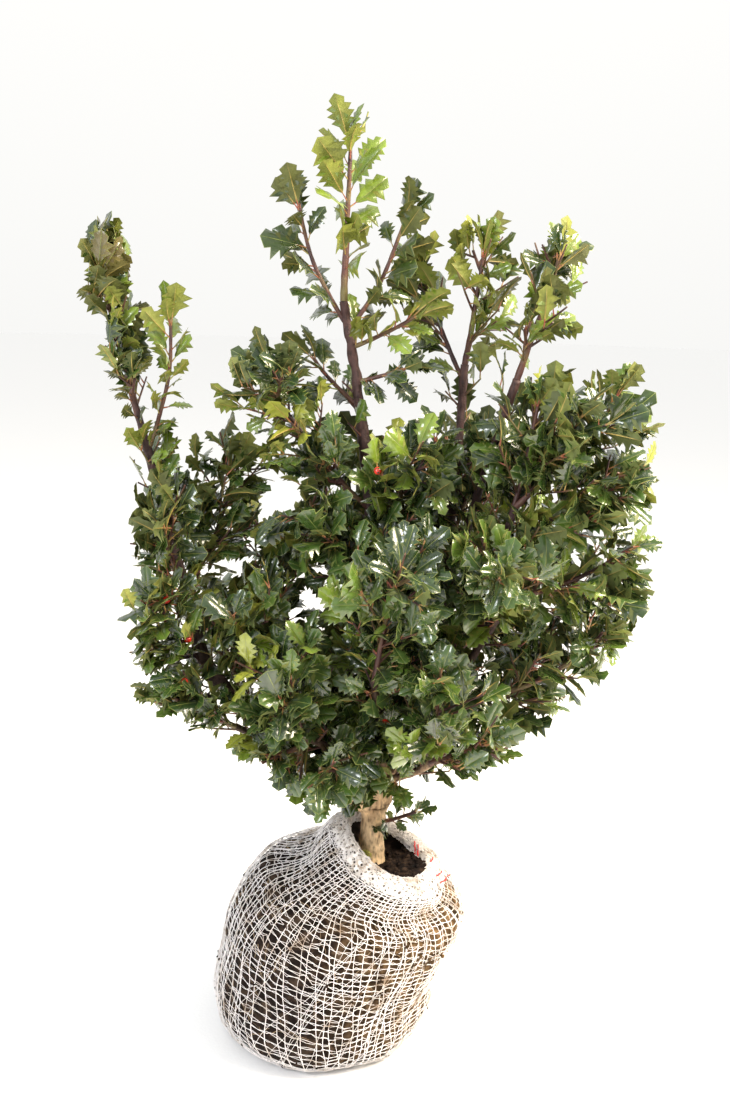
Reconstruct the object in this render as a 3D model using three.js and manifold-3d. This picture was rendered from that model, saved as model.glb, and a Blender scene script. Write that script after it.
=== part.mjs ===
// A young holly with several stems, lifted with its root ball in a knitted net.
// Millimetres and degrees, +Z up. The origin lies on the root ball's flat underside near its
// middle, +X is to the right and +Y is away from the front.

import * as THREE from "three";
import { mergeVertices } from "three/addons/utils/BufferGeometryUtils.js";
import Module from "manifold-3d";

const wasm = await Module();
wasm.setup();

// ---------------------------------------------------------------- driving dimensions

const GAP = 0.3; // clearance between touching pieces
const UP = new THREE.Vector3(0, 0, 1);
const FULL_TURN = 2 * Math.PI;
const GOLDEN_TURN = THREE.MathUtils.degToRad(137.5);

const BALL = {
  // The profile's stations from the flat underside up to the shoulder, as radius and height.
  profile: [[80, 0], [97, 8], [105, 28], [107, 60], [107, 98], [103, 122], [92, 137], [74, 149]],
  rim: 51, // radius of the ball's neck, just under the middle of the collar's roll
  top: 172,
  depthShare: 1.04, // front to back against side to side
  footX: -9, // the underside's centre is a little left of the middle
  lean: 50, // how far the top has sunk to the right, most of it near the top
  tiltFrom: 60, // above this height the top slopes down to the front right
  tiltX: -0.2, // rise per mm to the right
  tiltY: 0.12, // rise per mm to the back
  sides: 20,
};

const COLLAR = {
  // The gathered rim of the net, a rolled ring round the trunk's foot.
  x: 55,
  y: -8,
  radius: 45, // middle of the roll
  wide: 15, // half the roll's width
  high: 12, // half the roll's height
  z: 170, // height of the middle of the roll at its centre
  slopeX: -0.24,
  slopeY: 0.2,
  peak: 22, // the rim stands up further on the left
  peakTurn: 172,
  turns: 18,
  sides: 6,
};

// The flat soil inside the rim, and the open space above it.
const SOIL = { z: 168, radius: 37, headroom: 120 };

// The trunk's centreline starts a little below the soil, where it is cut flat.
const TRUNK = { foot: [34, 0, 162], tip: [39, 0, 222], lift: 0, radii: [16, 12.5], flare: 0.3 };
const LIMB_FLARE = 0.25; // how much wider a limb's foot is than its taper
const FLARE_POWER = 9; // how soon the flare dies away

// A limb runs from a station on the limb that carries it, or on from that limb's end, to its tip.
// Lift is how many degrees it turns upward on the way.
const LIMBS = [
  { name: "leader", on: "trunk", at: 1, tip: [0, 0, 690], lift: -12, radii: [11.5, 3.8] },
  { name: "left_stem", on: "trunk", at: 0.96, tip: [-120, -28, 368], lift: 24, radii: [9.5, 7] },
  { name: "left_shoot", on: "left_stem", at: 1, tip: [-176, 0, 566], lift: -4, radii: [6.6, 4] },
  { name: "right_stem", on: "trunk", at: 0.8, tip: [99, 16, 430], lift: 14, radii: [9, 6.4] },
  { name: "right_inner_shoot", on: "right_stem", at: 1, tip: [110, 30, 636], lift: 0, radii: [6, 3.8] },
  { name: "right_outer_shoot", on: "right_stem", at: 0.86, tip: [152, -18, 628], lift: -4, radii: [5.6, 3.8] },
  { name: "right_high_bough", on: "right_stem", at: 0.66, tip: [152, -48, 520], lift: 16, radii: [4.8, 3.4] },
  { name: "right_mid_bough", on: "right_stem", at: 0.42, tip: [150, -52, 440], lift: 18, radii: [4.8, 3.4] },
  { name: "right_low_bough", on: "right_stem", at: 0.16, tip: [140, -32, 340], lift: 16, radii: [4.8, 3.4] },
  { name: "front_right_bough", on: "leader", at: 0.05, tip: [86, -70, 292], lift: 14, radii: [4.4, 3.2] },
  { name: "front_left_bough", on: "leader", at: 0.1, tip: [-24, -70, 314], lift: 14, radii: [4.4, 3.2] },
  { name: "front_bough", on: "leader", at: 0.17, tip: [34, -84, 372], lift: 18, radii: [4.4, 3.2] },
  { name: "left_low_bough", on: "left_stem", at: 0.5, tip: [-88, -52, 316], lift: 8, radii: [4.2, 3] },
  { name: "back_left_bough", on: "leader", at: 0.14, tip: [-56, 84, 350], lift: 18, radii: [4.8, 3.4] },
  { name: "back_right_bough", on: "leader", at: 0.2, tip: [104, 92, 382], lift: 18, radii: [4.8, 3.4] },
  { name: "back_bough", on: "leader", at: 0.08, tip: [28, 92, 322], lift: 14, radii: [4.6, 3.2] },
];

// A mass has one stem, from a station on its limb to its tip, in a space of the given girth.
// Twigs is its number of side twigs, and size scales its leaves.
const MASSES = [
  { name: "top_shoot", on: "leader", at: 1, tip: [2, 0, 824], lift: 0, girth: 60, twigs: 0, size: 0.92 },
  { name: "top_left_shoot", on: "leader", at: 0.955, tip: [-40, -4, 768], lift: 26, girth: 50, twigs: 0, size: 0.84 },
  { name: "top_right_shoot", on: "leader", at: 0.945, tip: [52, 6, 764], lift: 20, girth: 46, twigs: 0, size: 0.84 },
  { name: "upper_right_twig", on: "leader", at: 0.915, tip: [62, -22, 680], lift: 10, girth: 42, twigs: 0, size: 0.84 },
  { name: "mid_right_twig", on: "leader", at: 0.85, tip: [52, -14, 634], lift: 10, girth: 40, twigs: 0, size: 0.84 },
  { name: "mid_left_twig", on: "leader", at: 0.8, tip: [-26, 12, 640], lift: 20, girth: 42, twigs: 0, size: 0.84 },
  { name: "high_left_spray", on: "leader", at: 0.6, tip: [-68, -30, 624], lift: 10, girth: 54, twigs: 2, size: 0.88 },
  { name: "centre_left_spray", on: "leader", at: 0.47, tip: [-26, -28, 508], lift: 14, girth: 64, twigs: 2 },
  { name: "centre_right_spray", on: "leader", at: 0.5, tip: [60, -24, 556], lift: 14, girth: 60, twigs: 3 },
  { name: "right_centre_spray", on: "right_inner_shoot", at: 0.22, tip: [134, 70, 556], lift: 14, girth: 58, twigs: 3 },
  { name: "right_inner_top", on: "right_inner_shoot", at: 1, tip: [122, 30, 732], lift: 0, girth: 54, twigs: 2, size: 0.88 },
  { name: "right_inner_left_spray", on: "right_inner_shoot", at: 0.93, tip: [68, 42, 722], lift: 14, girth: 46, twigs: 1, size: 0.88 },
  { name: "right_outer_top", on: "right_outer_shoot", at: 1, tip: [182, -20, 730], lift: 4, girth: 48, twigs: 2, size: 0.84 },
  { name: "right_top_spray", on: "right_high_bough", at: 0.86, tip: [170, -30, 608], lift: 10, girth: 60, twigs: 2 },
  { name: "right_high_spray", on: "right_high_bough", at: 1, tip: [216, -58, 602], lift: 10, girth: 64, twigs: 2 },
  { name: "right_far_spray", on: "right_high_bough", at: 0.94, tip: [234, -56, 540], lift: 14, girth: 62, twigs: 3 },
  { name: "right_mid_spray", on: "right_mid_bough", at: 1, tip: [236, -50, 474], lift: 14, girth: 62, twigs: 2 },
  { name: "right_front_spray", on: "right_mid_bough", at: 0.86, tip: [140, -96, 486], lift: 20, girth: 64, twigs: 2 },
  { name: "right_low_spray", on: "right_low_bough", at: 1, tip: [238, -32, 396], lift: 14, girth: 62, twigs: 2 },
  { name: "right_under_spray", on: "right_low_bough", at: 0.88, tip: [186, -20, 338], lift: 10, girth: 54, twigs: 2 },
  { name: "front_right_spray", on: "front_right_bough", at: 1, tip: [132, -86, 318], lift: 10, girth: 60, twigs: 2 },
  { name: "front_right_high_spray", on: "front_right_bough", at: 0.84, tip: [92, -96, 378], lift: 16, girth: 62, twigs: 2 },
  { name: "front_low_spray", on: "front_left_bough", at: 0.8, tip: [4, -100, 292], lift: 10, girth: 54, twigs: 2 },
  { name: "front_left_low_spray", on: "front_left_bough", at: 0.92, tip: [-62, -84, 296], lift: 10, girth: 56, twigs: 3 },
  { name: "front_left_spray", on: "front_left_bough", at: 1, tip: [-44, -92, 388], lift: 14, girth: 64, twigs: 2 },
  { name: "front_high_spray", on: "front_bough", at: 1, tip: [46, -96, 470], lift: 10, girth: 70, twigs: 2 },
  { name: "left_low_spray", on: "left_low_bough", at: 1, tip: [-142, -64, 346], lift: 8, girth: 56, twigs: 2 },
  { name: "left_outer_spray", on: "left_stem", at: 0.97, tip: [-158, -52, 424], lift: 14, girth: 62, twigs: 2 },
  { name: "left_inner_spray", on: "left_stem", at: 0.8, tip: [-72, -50, 420], lift: 16, girth: 66, twigs: 2 },
  { name: "left_inner_low_spray", on: "left_stem", at: 0.42, tip: [-46, -6, 352], lift: 16, girth: 56, twigs: 2 },
  { name: "left_shoot_spray", on: "left_shoot", at: 0.3, tip: [-160, -20, 500], lift: 10, girth: 56, twigs: 3 },
  { name: "left_rear_spray", on: "left_shoot", at: 0.3, tip: [-98, 62, 536], lift: 16, girth: 58, twigs: 2 },
  { name: "left_shoot_top", on: "left_shoot", at: 1, tip: [-218, 0, 730], lift: 0, girth: 46, twigs: 2, size: 0.78 },
  { name: "left_shoot_twig", on: "left_shoot", at: 0.94, tip: [-152, 0, 668], lift: 22, girth: 42, twigs: 0, size: 0.8 },
  { name: "back_left_low_spray", on: "back_left_bough", at: 1, tip: [-128, 100, 366], lift: 14, girth: 66, twigs: 2 },
  { name: "back_left_high_spray", on: "back_left_bough", at: 0.86, tip: [-62, 88, 470], lift: 16, girth: 68, twigs: 2 },
  { name: "back_low_spray", on: "back_bough", at: 1, tip: [24, 140, 340], lift: 12, girth: 62, twigs: 2 },
  { name: "back_high_spray", on: "back_bough", at: 0.85, tip: [36, 104, 456], lift: 16, girth: 70, twigs: 2 },
  { name: "back_right_low_spray", on: "back_right_bough", at: 1, tip: [180, 92, 384], lift: 14, girth: 66, twigs: 2 },
  { name: "back_right_high_spray", on: "back_right_bough", at: 0.88, tip: [150, 88, 482], lift: 16, girth: 68, twigs: 2 },
  { name: "trunk_twig", on: "trunk", at: 0.7, tip: [78, -18, 224], lift: 14, girth: 20, twigs: 0, size: 0.4 },
];

const CROWN = { x: 25, y: 0 }; // the upright line that the leaves look away from
const LEAF = {
  length: 50,
  width: 35,
  widest: 0.48, // where along the length it is widest
  thick: 0.9, // at the root
  fold: 0.3, // how far the edges lift, as a share of half the width
  droop: 0.08, // how far the tip falls, as a share of the length
  sunk: 0.2, // how far the root is sunk past the middle of its twig
  tipSunk: 2.5, // how far a twig's last leaf is sunk into its end
  outward: 0.9, // how far the upper face looks outward, against up
  forward: 0.3, // and how far it looks along its twig
  sizes: [0.9, 1.1], // the smallest and largest leaf, against the usual one
  smaller: 0.78, // the size of a leaf that finds no room at full size
  spacing: 11, // between leaves along a stem
  last: 0.88, // the last of them, as a share of the stem
  leanFoot: 62, // degrees from the twig: near its foot, near its tip and at its end
  leanTip: 40,
  leanEnd: 8,
  leanSpread: 20,
  twist: 38, // how far a leaf may turn about its midrib
  tries: 6,
  seed: 5000,
};
const STEM = { foot: 2.2, share: 0.85, tip: 1.5, sides: 3, steps: 2, firstLeaf: 0.14, leaves: 3 };
const TWIG = {
  foot: 1.7,
  tip: 1.3,
  sides: 3,
  steps: 1,
  spread: 52, // degrees from the stem
  spreadRange: 14,
  reach: [0.38, 0.52], // the shortest and longest, as a share of the mass's girth
  rise: 0.12, // how far it lifts, as a share of its reach
  first: 0.24, // the stations of the first and last twig along the stem
  last: 0.86,
  leaves: 3,
  firstLeaf: 0.36,
  seed: 1000,
};
const SPACE = { stations: 7, footShare: 0.6, margin: 0.02 };
const CLEAR = { spacing: 4, margin: 0.8, samples: 5 }; // room between leaves and other limbs
const STEM_SIDES = 7;
const BOUGH_SIDES = 5;
const BOUGH_RADIUS = 5; // a limb with a thinner foot than this is a bough
const LIMB_STEP = 60; // length of one straight stretch of a limb

const COLOURS = {
  soil: { color: 0x6b5240, roughness: 0.95, metalness: 0 },
  net: { color: 0xe8e6e2, roughness: 0.8, metalness: 0 },
  bark: { color: 0x6a5a4c, roughness: 0.85, metalness: 0 },
  stem: { color: 0x4b3a33, roughness: 0.7, metalness: 0 },
  leaf: { color: 0x2f4a22, roughness: 0.35, metalness: 0 },
};

// ---------------------------------------------------------------- solids and helpers

// A closed geometry as a solid that can be joined and cut.
function solidFrom(geometry) {
  const bare = geometry.clone();
  bare.deleteAttribute("normal");
  bare.deleteAttribute("uv");
  const merged = mergeVertices(bare, 1e-4);
  const mesh = new wasm.Mesh({
    numProp: 3,
    vertProperties: merged.attributes.position.array,
    triVerts: new Uint32Array(merged.index.array),
  });
  return new wasm.Manifold(mesh);
}

// The same, with the faces turned round where they point inwards.
function closedSolid(geometry) {
  const solid = solidFrom(geometry);
  if (solid.volume() > 0) {
    return solid;
  }
  const index = geometry.index.array;
  for (let i = 0; i < index.length; i += 3) {
    [index[i + 1], index[i + 2]] = [index[i + 2], index[i + 1]];
  }
  return solidFrom(geometry);
}

// The largest body of a solid: a sealed hollow is filled and a loose scrap is dropped.
function wholeBody(solid) {
  const bodies = solid.decompose();
  return bodies.reduce((best, body) => (body.volume() > best.volume() ? body : best));
}

function geometryFrom(solid) {
  const mesh = solid.getMesh();
  const geometry = new THREE.BufferGeometry();
  geometry.setAttribute("position", new THREE.BufferAttribute(mesh.vertProperties, 3));
  geometry.setIndex(new THREE.BufferAttribute(mesh.triVerts, 1));
  geometry.computeVertexNormals();
  return geometry;
}

function seededRandom(seed) {
  let state = seed >>> 0;
  return () => {
    state = (state + 0x6d2b79f5) >>> 0;
    let t = Math.imul(state ^ (state >>> 15), state | 1);
    t ^= t + Math.imul(t ^ (t >>> 7), t | 61);
    return ((t ^ (t >>> 14)) >>> 0) / 4294967296;
  };
}

// A unit vector square to the given direction, on the side of the hint.
function squareTo(direction, hint) {
  const side = hint.clone().addScaledVector(direction, -hint.dot(direction));
  if (side.length() < 1e-3) {
    return squareTo(direction, new THREE.Vector3(1, 0, 0));
  }
  return side.normalize();
}

// An even arc from foot to tip that turns upward by lift degrees on the way.
function arcTo(foot, tip, lift) {
  const chord = tip.clone().sub(foot);
  const half = chord.length() / 2;
  const bend = foot.clone().add(tip).multiplyScalar(0.5);
  const above = squareTo(chord.clone().normalize(), UP);
  bend.addScaledVector(above, -half * Math.tan(THREE.MathUtils.degToRad(lift / 2)));
  return new THREE.QuadraticBezierCurve3(foot, bend, tip);
}

// A stalk is any tapering stretch of wood: its centreline, its radius from foot to tip, and the
// frames at its stations, which turn with it and never twist.
function makeStalk(curve, radiusAt, sides, steps) {
  const frames = [];
  let across = UP;
  for (let i = 0; i <= steps; i += 1) {
    const tangent = curve.getTangent(i / steps);
    across = squareTo(tangent, across);
    const over = new THREE.Vector3().crossVectors(tangent, across);
    frames.push({ point: curve.getPoint(i / steps), tangent, across, over });
  }
  return { curve, radiusAt, sides, steps, frames };
}

// A stalk's closed solid: an open cylinder bent along it, with its two ends closed. Grown makes
// it that much larger all round, which is the room that its neighbours leave.
function stalkSolid(stalk, grown = 0) {
  const { frames, steps, sides, radiusAt } = stalk;
  const tube = new THREE.CylinderGeometry(1, 1, 1, sides, steps, true);
  const position = tube.attributes.position;
  for (let i = 0; i < position.count; i += 1) {
    const step = Math.round((position.getY(i) + 0.5) * steps);
    const radius = radiusAt(step / steps) + grown;
    const past = (step === steps) - (step === 0);
    const point = frames[step].point.clone();
    point.addScaledVector(frames[step].tangent, past * grown);
    point.addScaledVector(frames[step].across, position.getZ(i) * radius);
    point.addScaledVector(frames[step].over, position.getX(i) * radius);
    position.setXYZ(i, point.x, point.y, point.z);
  }
  const faces = [...tube.index.array];
  const lastRing = steps * (sides + 1);
  for (let i = 1; i < sides - 1; i += 1) {
    faces.push(0, i, i + 1);
    faces.push(lastRing, lastRing + i + 1, lastRing + i);
  }
  tube.setIndex(faces);
  return closedSolid(tube);
}

// The way out through the middle of the stalk's side that is nearest to a turn in radians.
function sideOf(stalk, along, turn) {
  const frame = stalk.frames[Math.min(stalk.steps - 1, Math.floor(along * stalk.steps))];
  const share = Math.round((turn / FULL_TURN) * stalk.sides - 0.5) + 0.5;
  const angle = (share / stalk.sides) * FULL_TURN;
  const out = frame.across.clone().multiplyScalar(Math.cos(angle));
  return out.addScaledVector(frame.over, Math.sin(angle));
}

const materials = {};
for (const [name, look] of Object.entries(COLOURS)) {
  materials[name] = new THREE.MeshStandardMaterial(look);
}

const holly = new THREE.Group();

function addNode(name, solid, material) {
  const node = new THREE.Mesh(geometryFrom(solid), materials[material]);
  node.name = name;
  holly.add(node);
}

// ---------------------------------------------------------------- root ball and net collar

// The height of the middle of the roll, which slopes to the front right and peaks on the left.
function rollHeight(x, y) {
  const slope = COLLAR.slopeX * (x - COLLAR.x) + COLLAR.slopeY * (y - COLLAR.y);
  const turn = Math.atan2(y - COLLAR.y, x - COLLAR.x);
  const rise = 0.5 + 0.5 * Math.cos(turn - THREE.MathUtils.degToRad(COLLAR.peakTurn));
  return COLLAR.z + slope + COLLAR.peak * rise * rise;
}

// The ball leans and its shoulder tilts, and its neck draws in to the collar's roll.
function ballSolid() {
  const stations = BALL.profile.map(([radius, z]) => new THREE.Vector2(radius, z));
  const neck = [new THREE.Vector2(BALL.rim, BALL.top), new THREE.Vector2(0, BALL.top)];
  const outline = [new THREE.Vector2(0, 0), ...stations, ...neck];
  const ball = new THREE.LatheGeometry(outline, BALL.sides);
  ball.rotateX(Math.PI / 2);
  const position = ball.attributes.position;
  for (let i = 0; i < position.count; i += 1) {
    const z = position.getZ(i);
    if (z === BALL.top) {
      const x = COLLAR.x + position.getX(i);
      const y = COLLAR.y + position.getY(i);
      position.setXYZ(i, x, y, rollHeight(x, y));
    } else {
      const x = position.getX(i) + BALL.footX + BALL.lean * (z / BALL.top) ** 2;
      const y = position.getY(i) * BALL.depthShare;
      const share = THREE.MathUtils.smoothstep(z, BALL.tiltFrom, BALL.top);
      const tilt = share * (BALL.tiltX * (x - COLLAR.x) + BALL.tiltY * (y - COLLAR.y));
      position.setXYZ(i, x, y, z + tilt);
    }
  }
  return closedSolid(ball);
}

// The collar's roll, or with grown above 0 the space that the ball leaves round it.
function collarSolid(grown) {
  const roll = new THREE.TorusGeometry(COLLAR.radius, 1, COLLAR.sides, COLLAR.turns);
  const position = roll.attributes.position;
  for (let i = 0; i < position.count; i += 1) {
    const turn = Math.atan2(position.getY(i), position.getX(i));
    const out = Math.hypot(position.getX(i), position.getY(i)) - COLLAR.radius;
    const reach = COLLAR.radius + out * (COLLAR.wide + grown);
    const x = COLLAR.x + reach * Math.cos(turn);
    const y = COLLAR.y + reach * Math.sin(turn);
    position.setXYZ(i, x, y, rollHeight(x, y) + position.getZ(i) * (COLLAR.high + grown));
  }
  return closedSolid(roll);
}

// Everything above the flat soil inside the rim.
function openingSolid() {
  const opening = new THREE.CylinderGeometry(SOIL.radius, SOIL.radius, SOIL.headroom, BALL.sides);
  opening.rotateX(Math.PI / 2);
  opening.translate(COLLAR.x, COLLAR.y, SOIL.z + SOIL.headroom / 2);
  return solidFrom(opening);
}

const rootBall = wholeBody(ballSolid().subtract(openingSolid()).subtract(collarSolid(GAP)));
addNode("root_ball", rootBall, "soil");

// ---------------------------------------------------------------- trunk and limbs

// Every limb by name: its centreline, its radius along it, and its solid.
const limbs = new Map();

function limbRadius(row, along) {
  const [foot, tip] = row.radii;
  const flare = 1 + (row.flare ?? LIMB_FLARE) * (1 - along) ** FLARE_POWER;
  return THREE.MathUtils.lerp(foot, tip, along) * flare;
}

function buildLimb(row, foot) {
  const curve = arcTo(foot, new THREE.Vector3(...row.tip), row.lift);
  const steps = Math.max(2, Math.round(curve.getLength() / LIMB_STEP));
  const sides = row.radii[0] > BOUGH_RADIUS ? STEM_SIDES : BOUGH_SIDES;
  const stalk = makeStalk(curve, (along) => limbRadius(row, along), sides, steps);
  const limb = { name: row.name, ...stalk, solid: stalkSolid(stalk), grown: stalkSolid(stalk, GAP) };
  limbs.set(row.name, limb);
  return limb;
}

// Where a piece starts: inside its limb at a station, or just past the limb's end.
function footOn(limb, at) {
  const point = limb.curve.getPoint(at);
  if (at === 1) {
    point.addScaledVector(limb.curve.getTangent(1), GAP);
  }
  return point;
}

const trunk = buildLimb({ name: "trunk", ...TRUNK }, new THREE.Vector3(...TRUNK.foot));
const aboveSoil = openingSolid().translate([0, 0, GAP]);
trunk.solid = trunk.solid.intersect(aboveSoil);
addNode("trunk", trunk.solid, "bark");

for (const row of LIMBS) {
  const carrier = limbs.get(row.on);
  const limb = buildLimb(row, footOn(carrier, row.at));
  for (const other of limbs.values()) {
    if (other !== limb) {
      limb.solid = limb.solid.subtract(other.grown);
    }
  }
  limb.solid = wholeBody(limb.solid);
  addNode(row.name, limb.solid, "stem");
}

const collar = [...limbs.values()].reduce((ring, limb) => ring.subtract(limb.grown), collarSolid(0));
addNode("net_collar", wholeBody(collar), "net");

// ---------------------------------------------------------------- foliage masses

// Stations along a mass's stem, each with the radius of the space round it.
function spaceAlong(curve, girth) {
  const stations = [];
  for (let i = 0; i < SPACE.stations; i += 1) {
    const along = i / (SPACE.stations - 1);
    const rise = THREE.MathUtils.lerp(SPACE.footShare, 1, Math.min(1, along * 2));
    stations.push({ point: curve.getPoint(along), radius: girth * rise });
  }
  return stations;
}

// How far out a point lies in a space: 0 on the stem, 1 on the space's edge.
function outness(point, space) {
  return Math.min(...space.map((station) => point.distanceTo(station.point) / station.radius));
}

// A mass's stem is as thick as the limb's end that it grows on from, or as a side shoot.
function stemRadius(row) {
  const limb = limbs.get(row.on);
  const foot = row.at === 1 ? limb.radiusAt(1) * STEM.share : STEM.foot;
  return (along) => THREE.MathUtils.lerp(foot, STEM.tip, along);
}

const twigRadius = (along) => THREE.MathUtils.lerp(TWIG.foot, TWIG.tip, along);

const masses = MASSES.map((row, number) => {
  const foot = footOn(limbs.get(row.on), row.at);
  const curve = arcTo(foot, new THREE.Vector3(...row.tip), row.lift);
  const stem = makeStalk(curve, stemRadius(row), STEM.sides, STEM.steps);
  return { ...row, number, stem, size: row.size ?? 1, space: spaceAlong(curve, row.girth) };
});

// Limbs and stems as balls along their centrelines, which leaves and twigs keep clear of.
function ballsAlong(stalk, owner) {
  const count = Math.ceil(stalk.curve.getLength() / CLEAR.spacing);
  const balls = [];
  for (let i = 0; i <= count; i += 1) {
    const radius = stalk.radiusAt(i / count);
    balls.push({ point: stalk.curve.getPoint(i / count), radius, owner });
  }
  return balls;
}

const obstacles = [
  ...[...limbs.values()].flatMap((limb) => ballsAlong(limb, limb.name)),
  ...masses.flatMap((mass) => ballsAlong(mass.stem, mass.name)),
];

// A point keeps to a mass's space when it is inside it and further out of every other space.
function keepsTo(mass, point) {
  const own = outness(point, mass.space);
  const free = (other) => other === mass || outness(point, other.space) > own + SPACE.margin;
  return own <= 1 && masses.every(free);
}

// A twig keeps to its space and touches no limb and no other mass's stem.
function twigFits(mass, curve) {
  const samples = curve.getPoints(CLEAR.samples).slice(1);
  const clear = (point) =>
    obstacles.every((ball) => {
      const room = ball.radius + TWIG.foot + CLEAR.margin;
      return ball.owner === mass.name || point.distanceTo(ball.point) > room;
    });
  return samples.every((point) => keepsTo(mass, point) && clear(point));
}

// A leaf's place: its root, the way it points, the way its upper face looks, and its size.
function leafPlace(mass, stalk, along, turn, lean, shrink, random) {
  const root = stalk.curve.getPoint(along);
  const tangent = stalk.curve.getTangent(along);
  const angle = THREE.MathUtils.degToRad(lean + LEAF.leanSpread * (random() - 0.5));
  const direction = tangent.clone().multiplyScalar(Math.cos(angle));
  direction.addScaledVector(sideOf(stalk, along, turn), Math.sin(angle)).normalize();
  const fromTrunk = new THREE.Vector3(root.x - CROWN.x, root.y - CROWN.y, 0).normalize();
  const light = UP.clone().addScaledVector(fromTrunk, LEAF.outward);
  light.addScaledVector(tangent, LEAF.forward);
  const size = mass.size * shrink * THREE.MathUtils.lerp(...LEAF.sizes, random());
  const twist = THREE.MathUtils.degToRad(LEAF.twist * (2 * random() - 1));
  const face = squareTo(direction, light).applyAxisAngle(direction, twist);
  return { root, direction, face, size };
}

// A leaf's root is an upright edge in the middle of its twig. Its midrib runs straight from
// there to the tip, and both halves are folded up from it.
function leafCorners({ root, direction, face, size }) {
  const side = new THREE.Vector3().crossVectors(direction, face);
  const length = LEAF.length * size;
  const halfWidth = (LEAF.width * size) / 2;
  const place = (along, across, above) =>
    root
      .clone()
      .addScaledVector(direction, along)
      .addScaledVector(side, across)
      .addScaledVector(face, above);
  return {
    rootTop: place(-LEAF.sunk, 0, LEAF.thick / 2),
    rootUnder: place(-LEAF.sunk, 0, -LEAF.thick / 2),
    left: place(LEAF.widest * length, -halfWidth, LEAF.fold * halfWidth),
    right: place(LEAF.widest * length, halfWidth, LEAF.fold * halfWidth),
    tip: place(length, 0, -LEAF.droop * length),
  };
}

function leafSolid({ rootTop, rootUnder, left, right, tip }) {
  const faces = [
    [rootTop, left, tip],
    [rootTop, tip, right],
    [rootUnder, tip, left],
    [rootUnder, right, tip],
    [rootTop, rootUnder, left],
    [rootTop, right, rootUnder],
  ];
  const corners = faces.flat();
  const geometry = new THREE.BufferGeometry().setFromPoints(corners);
  geometry.setIndex(corners.map((corner, i) => i));
  return closedSolid(geometry);
}

// A leaf is left out where it would leave its mass's space or touch a limb or another stem.
function leafFits(mass, place, corners) {
  if (![corners.left, corners.tip, corners.right].every((point) => keepsTo(mass, point))) {
    return false;
  }
  const side = new THREE.Vector3().crossVectors(place.direction, place.face);
  const length = LEAF.length * place.size;
  const halfWidth = (LEAF.width * place.size) / 2;
  return obstacles.every((ball) => {
    const room = ball.radius + CLEAR.margin;
    const offset = ball.point.clone().sub(place.root);
    const along = offset.dot(place.direction);
    const past = along < -room || along > length + room;
    const beside = Math.abs(offset.dot(side)) > halfWidth + room;
    const above = Math.abs(offset.dot(place.face)) > LEAF.fold * halfWidth + room;
    return ball.owner === mass.name || past || beside || above;
  });
}

// Leaves at even stations and one at the tip. A leaf that doesn't fit, or that would cross
// another leaf or twig, is turned about its own twig a few times before it is left out.
function addLeaves(mass, stalk, count, first, pieces, random) {
  const startTurn = random() * FULL_TURN;
  const tipStation = 1 - LEAF.tipSunk / stalk.curve.getLength();
  for (let i = 0; i <= count; i += 1) {
    const atTip = i === count;
    const share = i / Math.max(1, count - 1);
    const along = atTip ? tipStation : THREE.MathUtils.lerp(first, LEAF.last, share);
    const lean = atTip ? LEAF.leanEnd : THREE.MathUtils.lerp(LEAF.leanFoot, LEAF.leanTip, along);
    for (let go = 0; go < LEAF.tries; go += 1) {
      const turn = startTurn + i * GOLDEN_TURN + (go * FULL_TURN) / stalk.sides;
      const shrink = go < LEAF.tries / 2 ? 1 : LEAF.smaller;
      const place = leafPlace(mass, stalk, along, turn, lean, shrink, random);
      const corners = leafCorners(place);
      if (leafFits(mass, place, corners)) {
        const leaf = leafSolid(corners);
        const crosses = (piece) => piece !== stalk.solid && !leaf.intersect(piece).isEmpty();
        if (!pieces.some(crosses)) {
          pieces.push(leaf);
          break;
        }
      }
    }
  }
}

// A side twig leaves the stem at a steady spread and turns a little towards the sky.
function sideTwig(mass, along, turn, random) {
  const foot = mass.stem.curve.getPoint(along);
  const tangent = mass.stem.curve.getTangent(along);
  const spread = THREE.MathUtils.degToRad(TWIG.spread + TWIG.spreadRange * (random() - 0.5));
  const reach = mass.girth * THREE.MathUtils.lerp(...TWIG.reach, random());
  const tip = foot.clone().addScaledVector(tangent, reach * Math.cos(spread));
  tip.addScaledVector(sideOf(mass.stem, along, turn), reach * Math.sin(spread));
  tip.addScaledVector(UP, TWIG.rise * reach);
  return makeStalk(arcTo(foot, tip, 0), twigRadius, TWIG.sides, TWIG.steps);
}

// The side twigs of a mass: one at each station, turned on until it keeps to the space.
function sideTwigs(mass, random) {
  const twigs = [];
  const startTurn = random() * FULL_TURN;
  for (let i = 0; i < mass.twigs; i += 1) {
    const share = mass.twigs > 1 ? i / (mass.twigs - 1) : 0.5;
    const along = THREE.MathUtils.lerp(TWIG.first, TWIG.last, share);
    for (let go = 0; go < STEM.sides; go += 1) {
      const turn = startTurn + i * GOLDEN_TURN + (go * FULL_TURN) / STEM.sides;
      const twig = sideTwig(mass, along, turn, random);
      if (twigFits(mass, twig.curve)) {
        twigs.push(twig);
        break;
      }
    }
  }
  return twigs;
}

const limbRoom = wasm.Manifold.union([...limbs.values()].map((limb) => limb.grown));

function massSolid(mass) {
  const twigs = sideTwigs(mass, seededRandom(TWIG.seed + mass.number));
  const stalks = [mass.stem, ...twigs];
  for (const stalk of stalks) {
    stalk.solid = stalkSolid(stalk);
  }
  const pieces = stalks.map((stalk) => stalk.solid);
  const random = seededRandom(LEAF.seed + mass.number);
  for (const twig of twigs) {
    addLeaves(mass, twig, TWIG.leaves, TWIG.firstLeaf, pieces, random);
  }
  const onStem = Math.round(mass.stem.curve.getLength() / (LEAF.spacing * mass.size));
  addLeaves(mass, mass.stem, Math.max(STEM.leaves, onStem), STEM.firstLeaf, pieces, random);
  return wholeBody(wasm.Manifold.union(pieces).subtract(limbRoom));
}

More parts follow.
